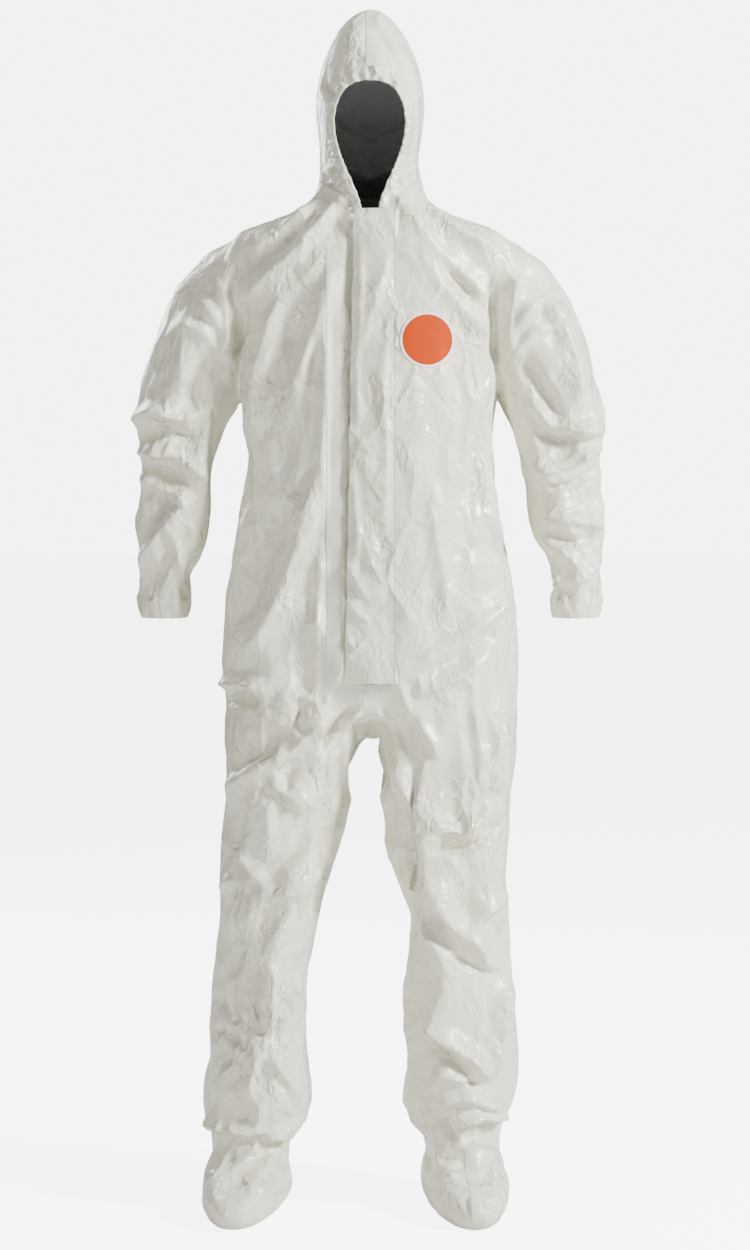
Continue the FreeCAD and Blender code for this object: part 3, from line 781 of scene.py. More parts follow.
def cut_surface(obj):
    """Cuts the surface along every seam; the pieces are taken from it afterwards."""
    bm = bmesh.new()
    bm.from_mesh(obj.data)

    def cut(where, place, direction):
        faces = [f for f in bm.faces if where(f.calc_center_median())]
        around = set()
        for f in faces:
            around.update(f.edges)
            around.update(f.verts)
        bmesh.ops.bisect_plane(bm, geom=faces + list(around), plane_co=place, plane_no=direction, dist=2e-5)

    def arm_at(c):
        limit = 0.270 - 0.073 * min(max((c.z - 0.90) / 0.40, 0), 1)
        return abs(c.x) > limit and 0.88 < c.z < 1.535

    def body_at(c):
        return not arm_at(c)

    for z in (NECK_LOW, NECK_HIGH):
        cut(lambda c, z=z: abs(c.z - z) < 0.03, (0, 0, z), (0, 0, 1))
    for sign in SIDES.values():
        cut(lambda c, s=sign: abs(c.x * s - ARMHOLE_X) < 0.03 and 1.25 < c.z < 1.56,
            (sign * ARMHOLE_X, 0, 0), (1, 0, 0))
        across, up = SLEEVE_CUT
        normal = Vector((across * sign, 0, -up))
        cut(lambda c, s=sign, n=normal: c.x * s > 0.2 and arm_at(c) and abs(c.dot(n) - SLEEVE_END) < 0.03,
            normal * SLEEVE_END, normal)
        for z in (ELBOW_HIGH, ELBOW_LOW, CUFF_HIGH, CUFF_LOW):
            cut(lambda c, s=sign, z=z: c.x * s > 0.2 and arm_at(c) and abs(c.z - z) < 0.03,
                (0, 0, z), (0, 0, 1))
        for z in (GROIN_Z, THIGH_Z):
            cut(lambda c, s=sign, z=z: c.x * s > -0.01 and body_at(c) and abs(c.z - z - SLOPE * abs(c.x)) < 0.04,
                (0, 0, z), (-SLOPE * sign, 0, 1))
        for z in (KNEE_HIGH, KNEE_LOW, ANKLE_Z, SOLE_Z):
            cut(lambda c, s=sign, z=z: c.x * s > 0 and abs(c.z - z) < 0.03, (0, 0, z), (0, 0, 1))
        cut(lambda c, s=sign: abs(c.x * s - ZIP_HALF) < 0.02 and c.y < 0 and 0.84 < c.z < 1.57,
            (sign * ZIP_HALF, 0, 0), (1, 0, 0))
    cut(lambda c: abs(c.x) < 0.03 and c.z > 0.74, (0, 0, 0), (1, 0, 0))
    cut(lambda c: abs(c.x) < 0.03 and c.y < 0 and abs(c.z - ZIP_LOW) < 0.02, (0, 0, ZIP_LOW), (0, 0, 1))
    cut(lambda c: body_at(c) and 0.76 < c.z < 1.57 and abs(c.y - BODY_Y) < 0.03, (0, BODY_Y, 0), (0, 1, 0))
    bm.to_mesh(obj.data)
    bm.free()
    obj.data.update()


def name_faces(co, polys):
    """The piece that each face belongs to."""
    centres = np.array([co[p].mean(0) for p in polys])
    x, y, z = centres.T
    ax = np.abs(x)
    arm = is_arm(centres)
    arm = np.where(z > 1.27, (ax > ARMHOLE_X) & (z < 1.54), arm)
    p = SLEEVE_CUT[0] * ax - SLEEVE_CUT[1] * z
    side = np.where(x < 0, "right", "left")
    part = np.full(len(polys), "back", dtype=object)
    part[(y < BODY_Y) & (x < 0)] = "right_front"
    part[(y < BODY_Y) & (x >= 0)] = "left_front"

    def put(where, suffix):
        part[where] = [s + suffix for s in side[where]]

    put(~arm & (z < GROIN_Z + SLOPE * ax), "_hip")
    put(~arm & (z < THIGH_Z + SLOPE * ax), "_thigh")
    put(~arm & (z < KNEE_HIGH), "_knee")
    put(~arm & (z < KNEE_LOW), "_shin")
    put(~arm & (z < ANKLE_Z), "_sock")
    put(~arm & (z < SOLE_Z), "_sock_sole")
    put(arm, "_upper_sleeve")
    put(arm & (p < SLEEVE_END), "_shoulder")
    put(arm & (z < ELBOW_HIGH), "_elbow")
    put(arm & (z < ELBOW_LOW), "_lower_sleeve")
    put(arm & (z < CUFF_HIGH), "_cuff")
    part[arm & (z < CUFF_LOW)] = ""
    neck = ~arm & (z > NECK_LOW) & (z < NECK_HIGH)
    part[neck] = "hood_neck"
    put(~arm & (z > NECK_HIGH), "_hood")
    part[(ax < ZIP_HALF) & (y < 0) & (z > ZIP_LOW) & (z < FACE_FOOT + 0.004)] = ""
    opening = face_distance(x, z) < 0.003
    part[opening & (y < 0) & (z > 1.548)] = ""
    return part, centres


def shell(name, polys, co, no, thick=0.0, offset=0.0):
    """A piece made of some of the surface's faces, with an inner layer and a rim if it has a thickness."""
    used = np.unique(np.concatenate(polys))
    place = np.full(len(co), -1)
    place[used] = np.arange(len(used))
    faces = [tuple(int(place[i]) for i in p) for p in polys]
    outer = co[used] + no[used] * offset
    way = no[used]
    verts = outer
    ways = way
    kinds = [0] * len(faces)
    if thick:
        count = len(used)
        directed = {(a, b) for f in faces for a, b in zip(f, f[1:] + f[:1])}
        rim = [(b, a, a + count, b + count) for a, b in directed if (b, a) not in directed]
        rim.sort()
        inner = [tuple(i + count for i in reversed(f)) for f in faces]
        verts = np.vstack([outer, outer - way * thick])
        ways = np.vstack([way, -way])
        kinds += [1] * len(inner) + [0] * len(rim)
        faces = faces + inner + rim
    mesh = bpy.data.meshes.new(name)
    mesh.from_pydata([tuple(v) for v in verts], [], faces)
    mesh.polygons.foreach_set("material_index", kinds)
    mesh.polygons.foreach_set("use_smooth", [True] * len(faces))
    mesh.update()
    mesh.normals_split_custom_set_from_vertices([tuple(v) for v in ways])
    obj = bpy.data.objects.new(name, mesh)
    bpy.context.scene.collection.objects.link(obj)
    return obj


def strip(name, polys, mask, co, planes, thick, offset):
    """A narrow tape cut from the surface between planes, lying just off it."""
    chosen = [polys[i] for i in np.nonzero(mask)[0]]
    used = np.unique(np.concatenate(chosen))
    place = {int(v): i for i, v in enumerate(used)}
    bm = bmesh.new()
    verts = [bm.verts.new(tuple(co[v])) for v in used]
    for p in chosen:
        bm.faces.new([verts[place[int(v)]] for v in p])
    bm.normal_update()
    for spot, normal in planes:
        bmesh.ops.bisect_plane(bm, geom=bm.verts[:] + bm.edges[:] + bm.faces[:], plane_co=spot, plane_no=normal,
                               dist=1e-5, clear_outer=True)
    bm.normal_update()
    bm.verts.index_update()
    c = np.array([v.co for v in bm.verts])
    n = np.array([v.normal for v in bm.verts])
    faces = [np.array([v.index for v in f.verts]) for f in bm.faces]
    bm.free()
    return shell(name, faces, c, n, thick, offset)


def sheet_mesh(name, grid, thick):
    """A closed thin sheet from a grid of points, thickened away from its front."""
    rows, cols, _ = grid.shape
    along = np.gradient(grid, axis=0)
    across = np.gradient(grid, axis=1)
    way = np.cross(across, along)
    way /= np.linalg.norm(way, axis=2)[:, :, None] + 1e-12
    polys = []
    for i in range(rows - 1):
        for j in range(cols - 1):
            a = i * cols + j
            polys.append(np.array([a, a + 1, a + cols + 1, a + cols]))
    return shell(name, polys, grid.reshape(-1, 3), way.reshape(-1, 3), thick)


def loft(name, rings):
    """A tube through rings of points."""
    count = len(rings[0])
    verts = [tuple(p) for r in rings for p in r]
    faces = []
    for i in range(len(rings) - 1):
        for j in range(count):
            k = (j + 1) % count
            faces.append((i * count + j, i * count + k, (i + 1) * count + k, (i + 1) * count + j))
    faces.append(tuple(reversed(range(count))))
    faces.append(tuple((len(rings) - 1) * count + j for j in range(count)))
    obj = mesh_object(name, verts, faces)
    bm = bmesh.new()
    bm.from_mesh(obj.data)
    bmesh.ops.recalc_face_normals(bm, faces=bm.faces)
    bm.to_mesh(obj.data)
    bm.free()
    obj.data.polygons.foreach_set("use_smooth", [True] * len(obj.data.polygons))
    return obj


class Nodes:
    """Short calls for building a node material."""

    def __init__(self, name, colour, roughness):
        self.material = bpy.data.materials.new(name)
        self.material.use_nodes = True
        self.tree = self.material.node_tree
        self.shader = self.tree.nodes["Principled BSDF"]
        self.shader.inputs["Base Color"].default_value = (*colour, 1)
        self.shader.inputs["Roughness"].default_value = roughness
        self.place = self.add("ShaderNodeTexCoord").outputs["Object"]

    def add(self, kind, **values):
        node = self.tree.nodes.new(kind)
        for key, value in values.items():
            setattr(node, key, value)
        return node

    def link(self, a, b):
        self.tree.links.new(a, b)

    def stretched(self, vector, stretch):
        node = self.add("ShaderNodeMapping")
        node.inputs["Scale"].default_value = stretch
        self.link(vector, node.inputs["Vector"])
        return node.outputs[0]

    def noise(self, scale, detail=3.0, distortion=0.0, stretch=(1, 1, 1)):
        node = self.add("ShaderNodeTexNoise")
        node.inputs["Scale"].default_value = scale
        node.inputs["Detail"].default_value = detail
        node.inputs["Distortion"].default_value = distortion
        self.link(self.stretched(self.place, stretch), node.inputs["Vector"])
        return node.outputs["Fac"]

    def creases(self, scale, warp, stretch=(1, 1, 1)):
        """Lines where crumpled facets meet."""
        bend = self.add("ShaderNodeTexNoise")
        bend.inputs["Scale"].default_value = scale * 0.45
        bend.inputs["Detail"].default_value = 2.0
        self.link(self.place, bend.inputs["Vector"])
        mix = self.add("ShaderNodeVectorMath", operation="MULTIPLY_ADD")
        mix.inputs[1].default_value = (warp, warp, warp)
        self.link(bend.outputs["Color"], mix.inputs[0])
        self.link(self.place, mix.inputs[2])
        node = self.add("ShaderNodeTexVoronoi", feature="DISTANCE_TO_EDGE")
        node.inputs["Scale"].default_value = scale
        self.link(self.stretched(mix.outputs[0], stretch), node.inputs["Vector"])
        return node.outputs["Distance"]

    def spread(self, value, low, high, a=0.0, b=1.0):
        node = self.add("ShaderNodeMapRange")
        for key, number in (("From Min", low), ("From Max", high), ("To Min", a), ("To Max", b)):
            node.inputs[key].default_value = number
        self.link(value, node.inputs["Value"])
        return node.outputs[0]

    def times(self, a, b, operation="MULTIPLY"):
        node = self.add("ShaderNodeMath", operation=operation)
        for slot, value in zip(node.inputs, (a, b)):
            if isinstance(value, (int, float)):
                slot.default_value = value
            else:
                self.link(value, slot)
        return node.outputs[0]

    def colours(self, value, first, second):
        ramp = self.add("ShaderNodeValToRGB")
        ramp.color_ramp.elements[0].color = (*first, 1)
        ramp.color_ramp.elements[1].color = (*second, 1)
        self.link(value, ramp.inputs[0])
        self.link(ramp.outputs[0], self.shader.inputs["Base Color"])

    def roughness(self, value):
        self.link(value, self.shader.inputs["Roughness"])

    def bump(self, height, distance, strength=1.0):
        node = self.add("ShaderNodeBump")
        node.inputs["Distance"].default_value = distance
        node.inputs["Strength"].default_value = strength
        self.link(height, node.inputs["Height"])
        before = self.shader.inputs["Normal"]
        if before.is_linked:
            self.link(before.links[0].from_socket, node.inputs["Normal"])
        self.link(node.outputs[0], before)


def film_material(name, light_colour, dark_colour, shine):
    """Glossy laminate: broad shade changes, polished and dull patches, and creases of three sizes."""
    m = Nodes(name, light_colour, 0.3)
    m.colours(m.spread(m.noise(7, 4, 0.6), 0.35, 0.65), dark_colour, light_colour)
    m.roughness(m.spread(m.noise(16, 4, 1.2), 0.32, 0.66, shine - 0.09, shine + 0.13))
    worn = m.spread(m.noise(9, 2, 0.5), 0.42, 0.62)
    for scale, warp, flat, reach, where, depth, strength in (
        (13, 0.10, 0.55, 0.30, m.spread(m.noise(5, 2), 0.35, 0.6), 0.0090, 0.8),
        (30, 0.07, 0.5, 0.30, worn, 0.0050, 0.75),
        (66, 0.04, 0.6, 0.36, m.spread(m.noise(12, 2), 0.46, 0.66), 0.0024, 0.7),
    ):
        ridges = m.spread(m.creases(scale, warp, (1, 1, flat)), 0.0, reach, 1.0, 0.0)
        m.bump(m.times(ridges, where), depth, strength)
    m.bump(m.noise(110, 5, 0.8, (1, 1, 0.5)), 0.0010, 0.5)
    m.shader.inputs["Coat Weight"].default_value = 0.12
    m.shader.inputs["Coat Roughness"].default_value = 0.12
    return m.material


def tape_material(name):
    """Heat-sealed seam tape: warmer and matt, with a faint lengthwise grain."""
    m = Nodes(name, (0.70, 0.675, 0.575), 0.5)
    m.colours(m.spread(m.noise(30, 4, 0.3, (1, 1, 0.3)), 0.3, 0.7), (0.625, 0.60, 0.50), (0.705, 0.68, 0.58))
    m.roughness(m.spread(m.noise(40, 3), 0.3, 0.7, 0.42, 0.58))
    m.bump(m.noise(180, 4, 0.2, (1, 1, 0.25)), 0.0005, 0.5)
    m.bump(m.creases(45, 0.02), 0.0010, 0.35)
    return m.material


def painted_shade_material(name):
    """Painted shade for the inside of the hood, which is really the same white film: dark low down, with painted
    light making it paler towards the crown.
    """
    m = Nodes(name, (0.15, 0.15, 0.152), 0.85)
    m.shader.inputs["Specular IOR Level"].default_value = 0.06
    split = m.add("ShaderNodeSeparateXYZ")
    m.link(m.place, split.inputs[0])
    height = m.times(split.outputs[2], m.times(m.noise(14, 3), 0.05), "ADD")
    m.colours(m.spread(height, 1.56, 1.80), (0.065, 0.065, 0.067), (0.56, 0.56, 0.57))
    m.roughness(m.spread(m.noise(60, 3), 0.3, 0.7, 0.75, 0.9))
    m.bump(m.noise(90, 4), 0.001, 0.5)
    return m.material


def woven_material(name, colour, pitch, rib):
    """Ribbed weave: fine bands one way, crossed by finer threads."""
    m = Nodes(name, colour, 0.75)
    waves = []
    for direction, scale in (("X", pitch), ("Z", pitch * rib)):
        wave = m.add("ShaderNodeTexWave", wave_type="BANDS", bands_direction=direction)
        wave.inputs["Scale"].default_value = scale
        wave.inputs["Distortion"].default_value = 0.6
        wave.inputs["Detail"].default_value = 1.0
        m.link(m.place, wave.inputs["Vector"])
        waves.append(wave.outputs["Fac"])
    weave = m.times(waves[0], waves[1])
    dark = tuple(c * 0.8 for c in colour)
    # colour is darker where the weave is low: painted shade between the threads, plus random tone from the noise
    m.colours(m.spread(m.times(weave, m.noise(50, 3), "ADD"), 0.3, 1.3), dark, colour)
    m.roughness(m.spread(weave, 0, 1, 0.85, 0.68))
    m.bump(weave, 0.0004, 0.7)
    return m.material


def moulded_material(name, colour, roughness, gloss=0.5):
    """Moulded nylon or printed film: a faint cloudiness and a fine orange-peel surface."""
    m = Nodes(name, colour, roughness)
    m.shader.inputs["Specular IOR Level"].default_value = gloss
    dark = tuple(c * 0.9 for c in colour)
    m.colours(m.spread(m.noise(25, 3), 0.3, 0.7), dark, colour)
    m.roughness(m.spread(m.noise(70, 3), 0.3, 0.7, roughness - 0.05, roughness + 0.09))
    m.bump(m.noise(260, 3), 0.0003, 0.4)
    m.bump(m.noise(30, 3, 0.4), 0.0012, 0.3)
    return m.material


def paint(obj, *materials):
    """Fills the material slots; faces keep the slot that they already have."""
    for i, material in enumerate(materials):
        if i < len(obj.data.materials):
            obj.data.materials[i] = material
        else:
            obj.data.materials.append(material)


FLAP_FOLDS = [
    (5, 10, 20, 34, 1500, 10, 1420, -18, 1330),
    (4, 8, 16, -14, 1530, -12, 1430, -20, 1310, -15, 1200),
    (4, 10, 18, 28, 1400, 22, 1280, 28, 1160, 20, 1040),
    (4, 8, 14, -26, 1160, -18, 1060, -27, 985),
    (6, 7, 14, -40, 1022, -24, 992, -8, 958),
    (-4, 6, 10, -40, 990, -20, 972, -6, 944),
    (5, 7, 12, -40, 962, -18, 934, 4, 926),
    (5, 7, 12, -40, 905, -24, 884, -6, 896),
    (-3, 6, 10, -40, 930, -26, 912, -12, 915),
]


def free_edge(z):
    return np.interp(z, [FLAP_LOW, FLAP_HIGH], [-0.038, -0.024])


def flap_point(x, z):
    """Front of the flap: free edge waves towards the chest, sewn edge stays on its line."""
    free = free_edge(z)
    u = np.clip((0.0378 - x) / (0.0378 - free), 0, 1)
    y = FLAP_Y - 0.0022 * np.sin(math.pi * u) + 0.0050 * u**3
    y += (0.0012 * np.sin(z * 47) + 0.0008 * np.sin(z * 113 + 1)) * u**2
    points = np.column_stack([x, y, z])
    high = fold_heights(points, FLAP_FOLDS, np.ones(len(x)))
    high += facets(points, 0.030, 1.8, 5) * 0.0022 + facets(points, 0.075, 2.2, 9) * 0.0035
    high *= smooth(0.0, 0.16, u)
    y -= np.clip(high, -0.0015, 0.008)
    return np.column_stack([x, y, z])


def make_flap(m):
    rows = 240
    cols = 22
    z = np.linspace(FLAP_LOW, FLAP_HIGH, rows)
    free = free_edge(z) + 0.0007 * np.sin(z * 61) + 0.0006 * np.sin(z * 139)
    corner = 0.012
    up = np.clip(z - FLAP_LOW, 0, corner)
    free += corner - np.sqrt(np.maximum(corner**2 - (corner - up) ** 2, 0))
    u = np.linspace(0, 1, cols)
    x = free[:, None] + (0.0375 - free[:, None]) * u[None, :]
    grid = flap_point(x.ravel(), np.repeat(z, cols)).reshape(rows, cols, 3)
    flap = sheet_mesh("storm_flap_film", grid, 0.0008)
    finish(flap, "storm_flap", "white_film", m["film"], m["film"])
    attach(flap, "storm_flap")
    z = np.linspace(0.872, 1.540, 160)
    x = np.linspace(-0.022, -0.014, 5)
    grid = flap_point(np.tile(x, len(z)), np.repeat(z, len(x))).reshape(len(z), len(x), 3)
    grid[:, :, 1] += 0.0010
    tape = sheet_mesh("flap_closure_tape", grid[:, ::-1], 0.0007)
    finish(tape, "flap_adhesive_strip", "adhesive", m["adhesive"], m["adhesive"])
    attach(tape, "storm_flap")


def front_of(tree, x, z):
    """Where a straight look from the front meets the surface."""
    hit = tree.ray_cast(Vector((x, -1.0, z)), Vector((0, 1, 0)))
    return hit[0].y if hit[0] is not None else -0.06


def make_flap_seam(m, tree):
    rows = 220
    cols = 10
    z = np.linspace(FLAP_LOW, FLAP_HIGH, rows)
    grid = np.empty((rows, cols, 3))
    for i, level in enumerate(z):
        ends = smooth(0, 0.018, level - FLAP_LOW) * smooth(0, 0.012, FLAP_HIGH - level)
        reach = 0.0445
        foot = front_of(tree, reach, level) + 0.0003
        top = -0.0890
        for j in range(cols):
            u = j / (cols - 1)
            x = 0.0381 + (reach - 0.0381) * u
            y = top + (foot - top) * (u * u * (3 - 2 * u))
            under = front_of(tree, x, level) - 0.0005
            y = min(y, under)
            grid[i, j] = (x, y * ends + (1 - ends) * max(y, under - 0.004), level)
    seam = sheet_mesh("flap_seam_film", grid, 0.0008)
    finish(seam, "flap_seam", "white_film", m["film"], m["film"])
    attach(seam, "torso")


def hem_path(tree):
    """Points round the face opening, with the direction away from it along the surface."""
    outline = np.array([(h, z) for z, h in reversed(FACE[1:])] + [(0.0, FACE_TOP)])
    full = np.vstack([outline * (-1, 1), outline[-2::-1]])
    steps = np.concatenate([[0], np.cumsum(np.linalg.norm(np.diff(full, axis=0), axis=1))])
    count = 260
    s = np.linspace(0, steps[-1], count)
    flat = np.column_stack([np.interp(s, steps, full[:, k]) for k in range(2)])
    for _ in range(200):
        flat[1:-1] = flat[1:-1] * 0.5 + (flat[:-2] + flat[2:]) * 0.25
    along = np.gradient(flat, axis=0)
    along /= np.linalg.norm(along, axis=1)[:, None]
    away = np.column_stack([-along[:, 1], along[:, 0]])
    wide = 0.0125
    edge = np.array([(p[0], front_of(tree, *p), p[1]) for p in flat])
    outer = np.array([(p[0], front_of(tree, *p), p[1]) for p in flat + away * wide])
    for line in (edge, outer):
        for _ in range(3):
            line[1:-1, 1] = line[1:-1, 1] * 0.5 + (line[:-2, 1] + line[2:, 1]) * 0.25
    return edge, outer


def make_hem(m, tree):
    edge, outer = hem_path(tree)
    across = outer - edge
    wide = np.linalg.norm(across, axis=1)
    across /= wide[:, None]
    along = np.gradient(edge, axis=0)
    along /= np.linalg.norm(along, axis=1)[:, None]
    out = np.cross(across, along)
    out *= -np.sign(out[:, 1])[:, None]
    out /= np.linalg.norm(out, axis=1)[:, None]
    section = [(1.02, 0.2), (0.86, 1.5), (0.62, 2.0), (0.36, 1.9), (0.12, 2.1), (0.0, 1.3), (-0.03, 0.0),
               (0.0, -1.3), (0.14, -1.9), (0.45, -2.1), (0.8, -1.9), (1.0, -1.2)]
    band = [(0.30, 0.7), (0.70, 0.7), (0.72, 0.0), (0.70, -0.7), (0.30, -0.7), (0.28, 0.0)]
    for name, node, shape, material, ruffle in (("face_hem_film", "face_hem", section, "film", 1.0),
                                                ("face_elastic_band", "face_elastic", band, "elastic", 0.0)):
        rings = []
        for i in range(len(edge)):
            t = i / (len(edge) - 1)
            wave = abs(math.sin(t * 118 + 2.0 * math.sin(t * 31))) - 0.4
            ring = []
            for b, n in shape:
                lift = n * 0.001 + ruffle * wave * 0.0022 * (1 if n > 0 else -0.3) * (0.4 + 0.6 * b)
                place = edge[i] + across[i] * (b * wide[i] + ruffle * wave * 0.0012) + out[i] * lift
                ring.append(place)
            rings.append(ring)
        hem = loft(name, rings)
        finish(hem, node, "white_film" if ruffle else "elastic", m[material])
        bend_neck(hem)


def bend_neck(obj):
    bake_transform(obj)


def finish(obj, node, slot, *materials):
    """Paints a piece and hides the frame node that it stands for."""
    paint(obj, *materials)
    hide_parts(node)


def make_badge(m, tree):
    for name, node, low, high, rings, material in (
        ("chest_badge_field", "chest_badge", 0.0, 0.0385, 26, "badge_orange"),
        ("chest_badge_edge", "chest_badge_border", 0.0385, 0.0420, 5, "badge_border"),
    ):
        count = 120
        radii = np.linspace(max(low, 0.0015), high, rings)
        turn = np.linspace(0, 2 * math.pi, count, endpoint=False)
        points = []
        for r in radii:
            for a in turn:
                x = BADGE_X + r * math.cos(a)
                z = BADGE_Z + r * math.sin(a)
                points.append((x, front_of(tree, x, z) - 0.0012, z))
        points = np.array(points)
        faces = []
        for i in range(rings - 1):
            for j in range(count):
                k = (j + 1) % count
                faces.append(np.array([i * count + j, i * count + k, (i + 1) * count + k, (i + 1) * count + j]))
        if low == 0.0:
            faces.append(np.arange(count)[::-1])
        grid = points.reshape(rings, count, 3)
        spin = np.roll(grid, -1, axis=1) - np.roll(grid, 1, axis=1)
        outward = np.gradient(grid, axis=0)
        way = np.cross(spin, outward).reshape(-1, 3)
        way *= -np.sign(way[:, 1])[:, None]
        way /= np.linalg.norm(way, axis=1)[:, None]
        a, b, c = (points[faces[0][k]] for k in range(3))
        if np.cross(b - a, c - b)[1] > 0:
            faces = [f[::-1] for f in faces]
        badge = shell(name, faces, points, way, 0.0006)
        finish(badge, node, material, m[material], m[material])
        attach(badge, "torso")


def hold(obj, piece):
    """Joins most pieces to the body they move with; the neck, shoulder, elbow, hip and knee pieces only have
    their placing baked in.
    """
    side, _, part = piece.partition("_")
    if piece == "hood_neck":
        bend_neck(obj)
    elif part == "shoulder":
        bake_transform(obj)
    elif part == "elbow":
        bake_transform(obj)
    elif part == "hip":
        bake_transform(obj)
    elif part == "knee":
        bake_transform(obj)
    else:
        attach(obj, {
            "hood": "hood",
            "upper_sleeve": side + "_upper_arm",
            "lower_sleeve": side + "_forearm",
            "cuff": side + "_forearm",
            "thigh": side + "_thigh",
            "shin": side + "_lower_leg",
            "sock": side + "_lower_leg",
            "sock_sole": side + "_lower_leg",
        }.get(part, "torso"))


def make_tapes(m, polys, centres, co):
    x, y, z = centres.T
    away = face_distance(x, z)

    def tape(name, node, mask, planes, body, slot="seam_tape", thick=0.0005, offset=0.0009):
        obj = strip(name, polys, mask, co, planes, thick, offset)
        finish(obj, node, "white_film" if slot == "film" else slot, m[slot], m[slot])
        if body == "neck":
            bend_neck(obj)
        else:
            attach(obj, body)

    def at_x(value, sign):
        return ((value, 0, 0), (sign, 0, 0))

    def at_z(value, sign):
        return ((0, 0, value), (0, 0, sign))

    tape("placket_tape", "placket_seam_tape",
         (np.abs(x + 0.055) < 0.025) & (y < 0) & (z > 0.82) & (z < 1.52) & (centres[:, 0] < 0),
         [at_x(-0.066, -1), at_x(-0.0445, 1), at_z(0.842, -1), at_z(1.500, 1)], "torso")
    tape("crotch_tape", "crotch_seam_tape",
         (np.abs(x) < 0.025) & (y < 0) & (z > 0.775) & (z < 0.845),
         [at_x(-0.011, -1), at_x(0.009, 1), at_z(0.7925, -1), at_z(0.829, 1)], "torso")
    tape("neck_tape", "neck_seam_tape",
         (np.abs(z - 1.552) < 0.02) & (np.abs(x) < 0.2) & ((y > 0) | (away > 0.016)),
         [at_z(1.546, -1), at_z(1.556, 1)], "neck", "film", 0.0003, 0.0003)
    for side, sign in SIDES.items():
        tape(side + "_armhole_strip", side + "_armhole_tape",
             (np.abs(x * sign - 0.190) < 0.02) & (z > 1.29) & (z < 1.56),
             [at_x(0.184 * sign, -sign), at_x(0.196 * sign, sign), at_z(1.302, -1)],
             "torso", "film", 0.0003, 0.0003)
        middle, turn = FEET[side]
        a = math.radians(sign * turn)
        normal = Vector((math.cos(a), math.sin(a), 0))
        spot = Vector((middle * MM, BODY_Y, 0))
        reach = (x - spot.x) * normal.x + (y - spot.y) * normal.y
        tape(side + "_sock_tape", side + "_sock_seam_tape",
             (np.abs(reach) < 0.02) & (y < BODY_Y - 0.03) & (z < 0.108),
             [(spot - normal * 0.008, -normal), (spot + normal * 0.008, normal), at_z(0.015, -1)],
             side + "_lower_leg", thick=0.0004)
        tape(side + "_ankle_strip", side + "_ankle_seam",
             (x * sign > 0) & (np.abs(z - ANKLE_Z) < 0.015),
             [at_z(ANKLE_Z - 0.003, -1), at_z(ANKLE_Z + 0.003, 1)], side + "_lower_leg", "film", 0.0004, 0.0005)
    tape("hood_tape", "hood_seam_tape",
         (np.abs(x) < 0.035) & (z > 1.60) & ((y > BODY_Y) | (z > 1.775)),
         [at_x(-0.005, -1), at_x(0.017, 1), at_z(NECK_HIGH + 0.001, -1)], "hood")


def build(m):
    surface = make_surface()
    cut_surface(surface)
    mesh = surface.data
    co = coords(mesh)
    no = normals(mesh)
    polys = [np.array(p.vertices) for p in mesh.polygons]
    tree = BVHTree.FromPolygons([tuple(v) for v in co], [tuple(int(i) for i in p) for p in polys])
    part, centres = name_faces(co, polys)
    nodes = {"right_hood": "hood_right_panel", "left_hood": "hood_left_panel"}
    # hood and neck pieces get painted shade on their inner faces, standing in for the shadow inside the hood
    dark = ("right_hood", "left_hood", "hood_neck")
    for piece in sorted(set(part) - {""}):
        chosen = [polys[i] for i in np.nonzero(part == piece)[0]]
        node = nodes.get(piece, piece)
        obj = shell(node + "_film", chosen, co, no, 0.0010)
        film = m["sole"] if piece.endswith("sole") else m["film"]
        finish(obj, node, "white_film", film, m["painted_hood_shade"] if piece in dark else film)
        hold(obj, piece)
    make_tapes(m, polys, centres, co)
    make_badge(m, tree)
    make_hem(m, tree)
    make_flap(m)
    make_flap_seam(m, tree)
    bpy.data.objects.remove(surface)


def finish_nodes(m):
    """Zipper and cuff elastics keep the frame's own shapes."""
    for name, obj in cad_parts.items():
        if name.startswith("zipper_tape"):
            paint(obj, m["zipper_tape"])
        elif name.startswith("zipper"):
            paint(obj, m["zipper_plastic"])
        elif name.endswith("cuff_elastic"):
            paint(obj, m["elastic"])


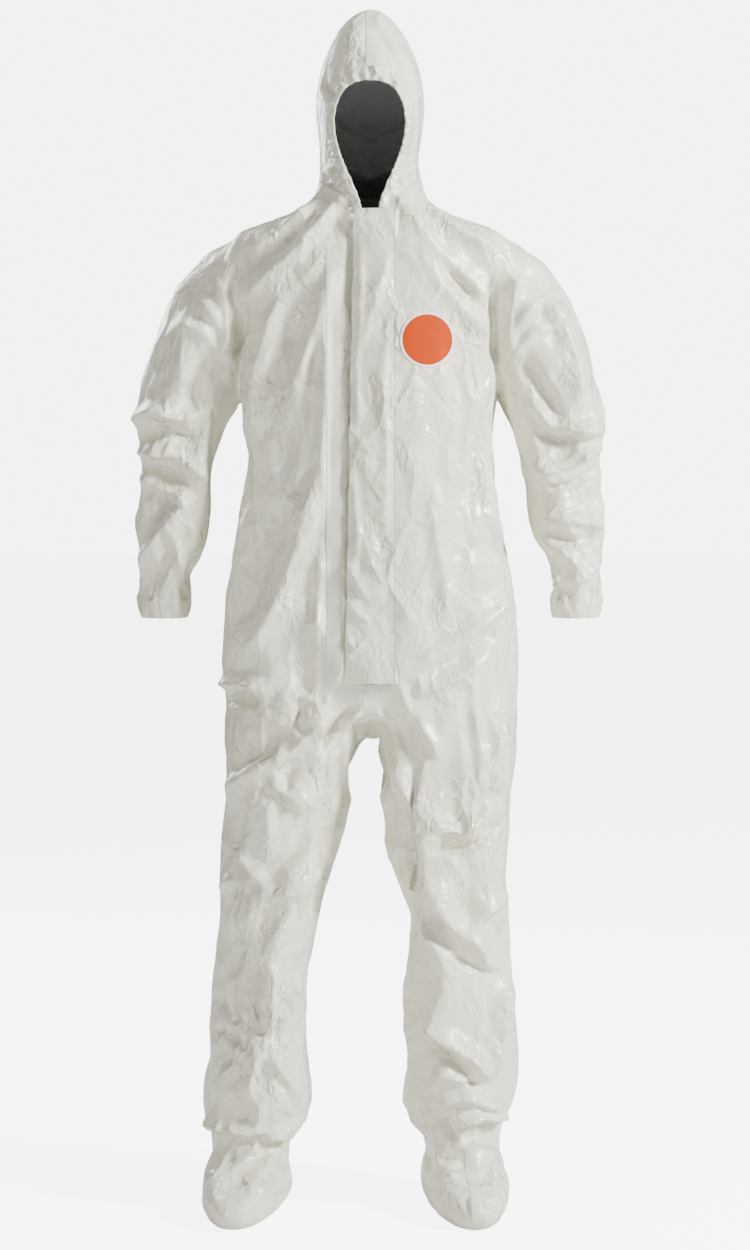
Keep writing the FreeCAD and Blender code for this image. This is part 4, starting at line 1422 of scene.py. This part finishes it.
def make_floor():
    count = 96
    verts = [(0.0, 0.0, FLOOR_Z)]
    faces = []
    radii = (1.0, 4.0, 30.0)
    for r in radii:
        for j in range(count):
            a = 2 * math.pi * j / count
            verts.append((r * math.cos(a), r * math.sin(a), FLOOR_Z))
    for j in range(count):
        k = (j + 1) % count
        faces.append((0, 1 + j, 1 + k))
        for i in range(len(radii) - 1):
            inner = 1 + i * count
            faces.append((inner + j, inner + count + j, inner + count + k, inner + k))
    floor = mesh_object("studio_floor", verts, faces)
    m = Nodes("studio floor", (0.86, 0.86, 0.855), 0.8)
    m.shader.inputs["Emission Color"].default_value = (1, 1, 0.995, 1)
    glow = m.times(m.add("ShaderNodeLightPath").outputs["Is Camera Ray"], 5.6)
    m.link(glow, m.shader.inputs["Emission Strength"])
    m.colours(m.spread(m.noise(1.5, 2), 0.3, 0.7), (0.85, 0.85, 0.845), (0.87, 0.87, 0.865))
    paint(floor, m.material)


def make_light():
    world = bpy.data.worlds.new("studio")
    bpy.context.scene.world = world
    world.use_nodes = True
    tree = world.node_tree
    sky = tree.nodes["Background"]
    sky.inputs["Color"].default_value = (1.0, 1.0, 0.995, 1)
    path = tree.nodes.new("ShaderNodeLightPath")
    share = tree.nodes.new("ShaderNodeMapRange")
    share.inputs["To Min"].default_value = 0.08
    share.inputs["To Max"].default_value = 6.0
    tree.links.new(path.outputs["Is Camera Ray"], share.inputs["Value"])
    tree.links.new(share.outputs[0], sky.inputs["Strength"])
    light("key", (3.5, -1.7, 2.8), (0.8, 1.1), 560)
    light("fill", (-2.6, -3.2, 1.7), (0.8, 1.8), 85)
    light("top", (0.2, 0.2, 3.8), (1.2, 1.2), 50)
    light("rim", (-1.8, 2.8, 2.3), (1.2, 1.6), 90)


make_camera()
make_floor()
make_light()
materials = {
    "film": film_material("white film", (0.725, 0.706, 0.570), (0.650, 0.630, 0.495), 0.31),
    "sole": film_material("sole film", (0.65, 0.63, 0.56), (0.59, 0.57, 0.50), 0.45),
    "seam_tape": tape_material("seam tape"),
    # painted shade for the hood's inside, paler towards the crown as painted light
    "painted_hood_shade": painted_shade_material("painted hood shade"),
    "elastic": woven_material("woven elastic", (0.76, 0.70, 0.65), 420, 0.6),
    "zipper_tape": woven_material("zipper tape", (0.72, 0.71, 0.67), 520, 1.0),
    "zipper_plastic": moulded_material("moulded nylon", (0.70, 0.69, 0.64), 0.32),
    "adhesive": moulded_material("closure tape", (0.74, 0.72, 0.66), 0.55),
    "badge_orange": moulded_material("badge orange", (0.44, 0.044, 0.0006), 0.7, 0.12),
    "badge_border": moulded_material("badge border", (0.82, 0.82, 0.81), 0.42),
}
build(materials)
finish_nodes(materials)
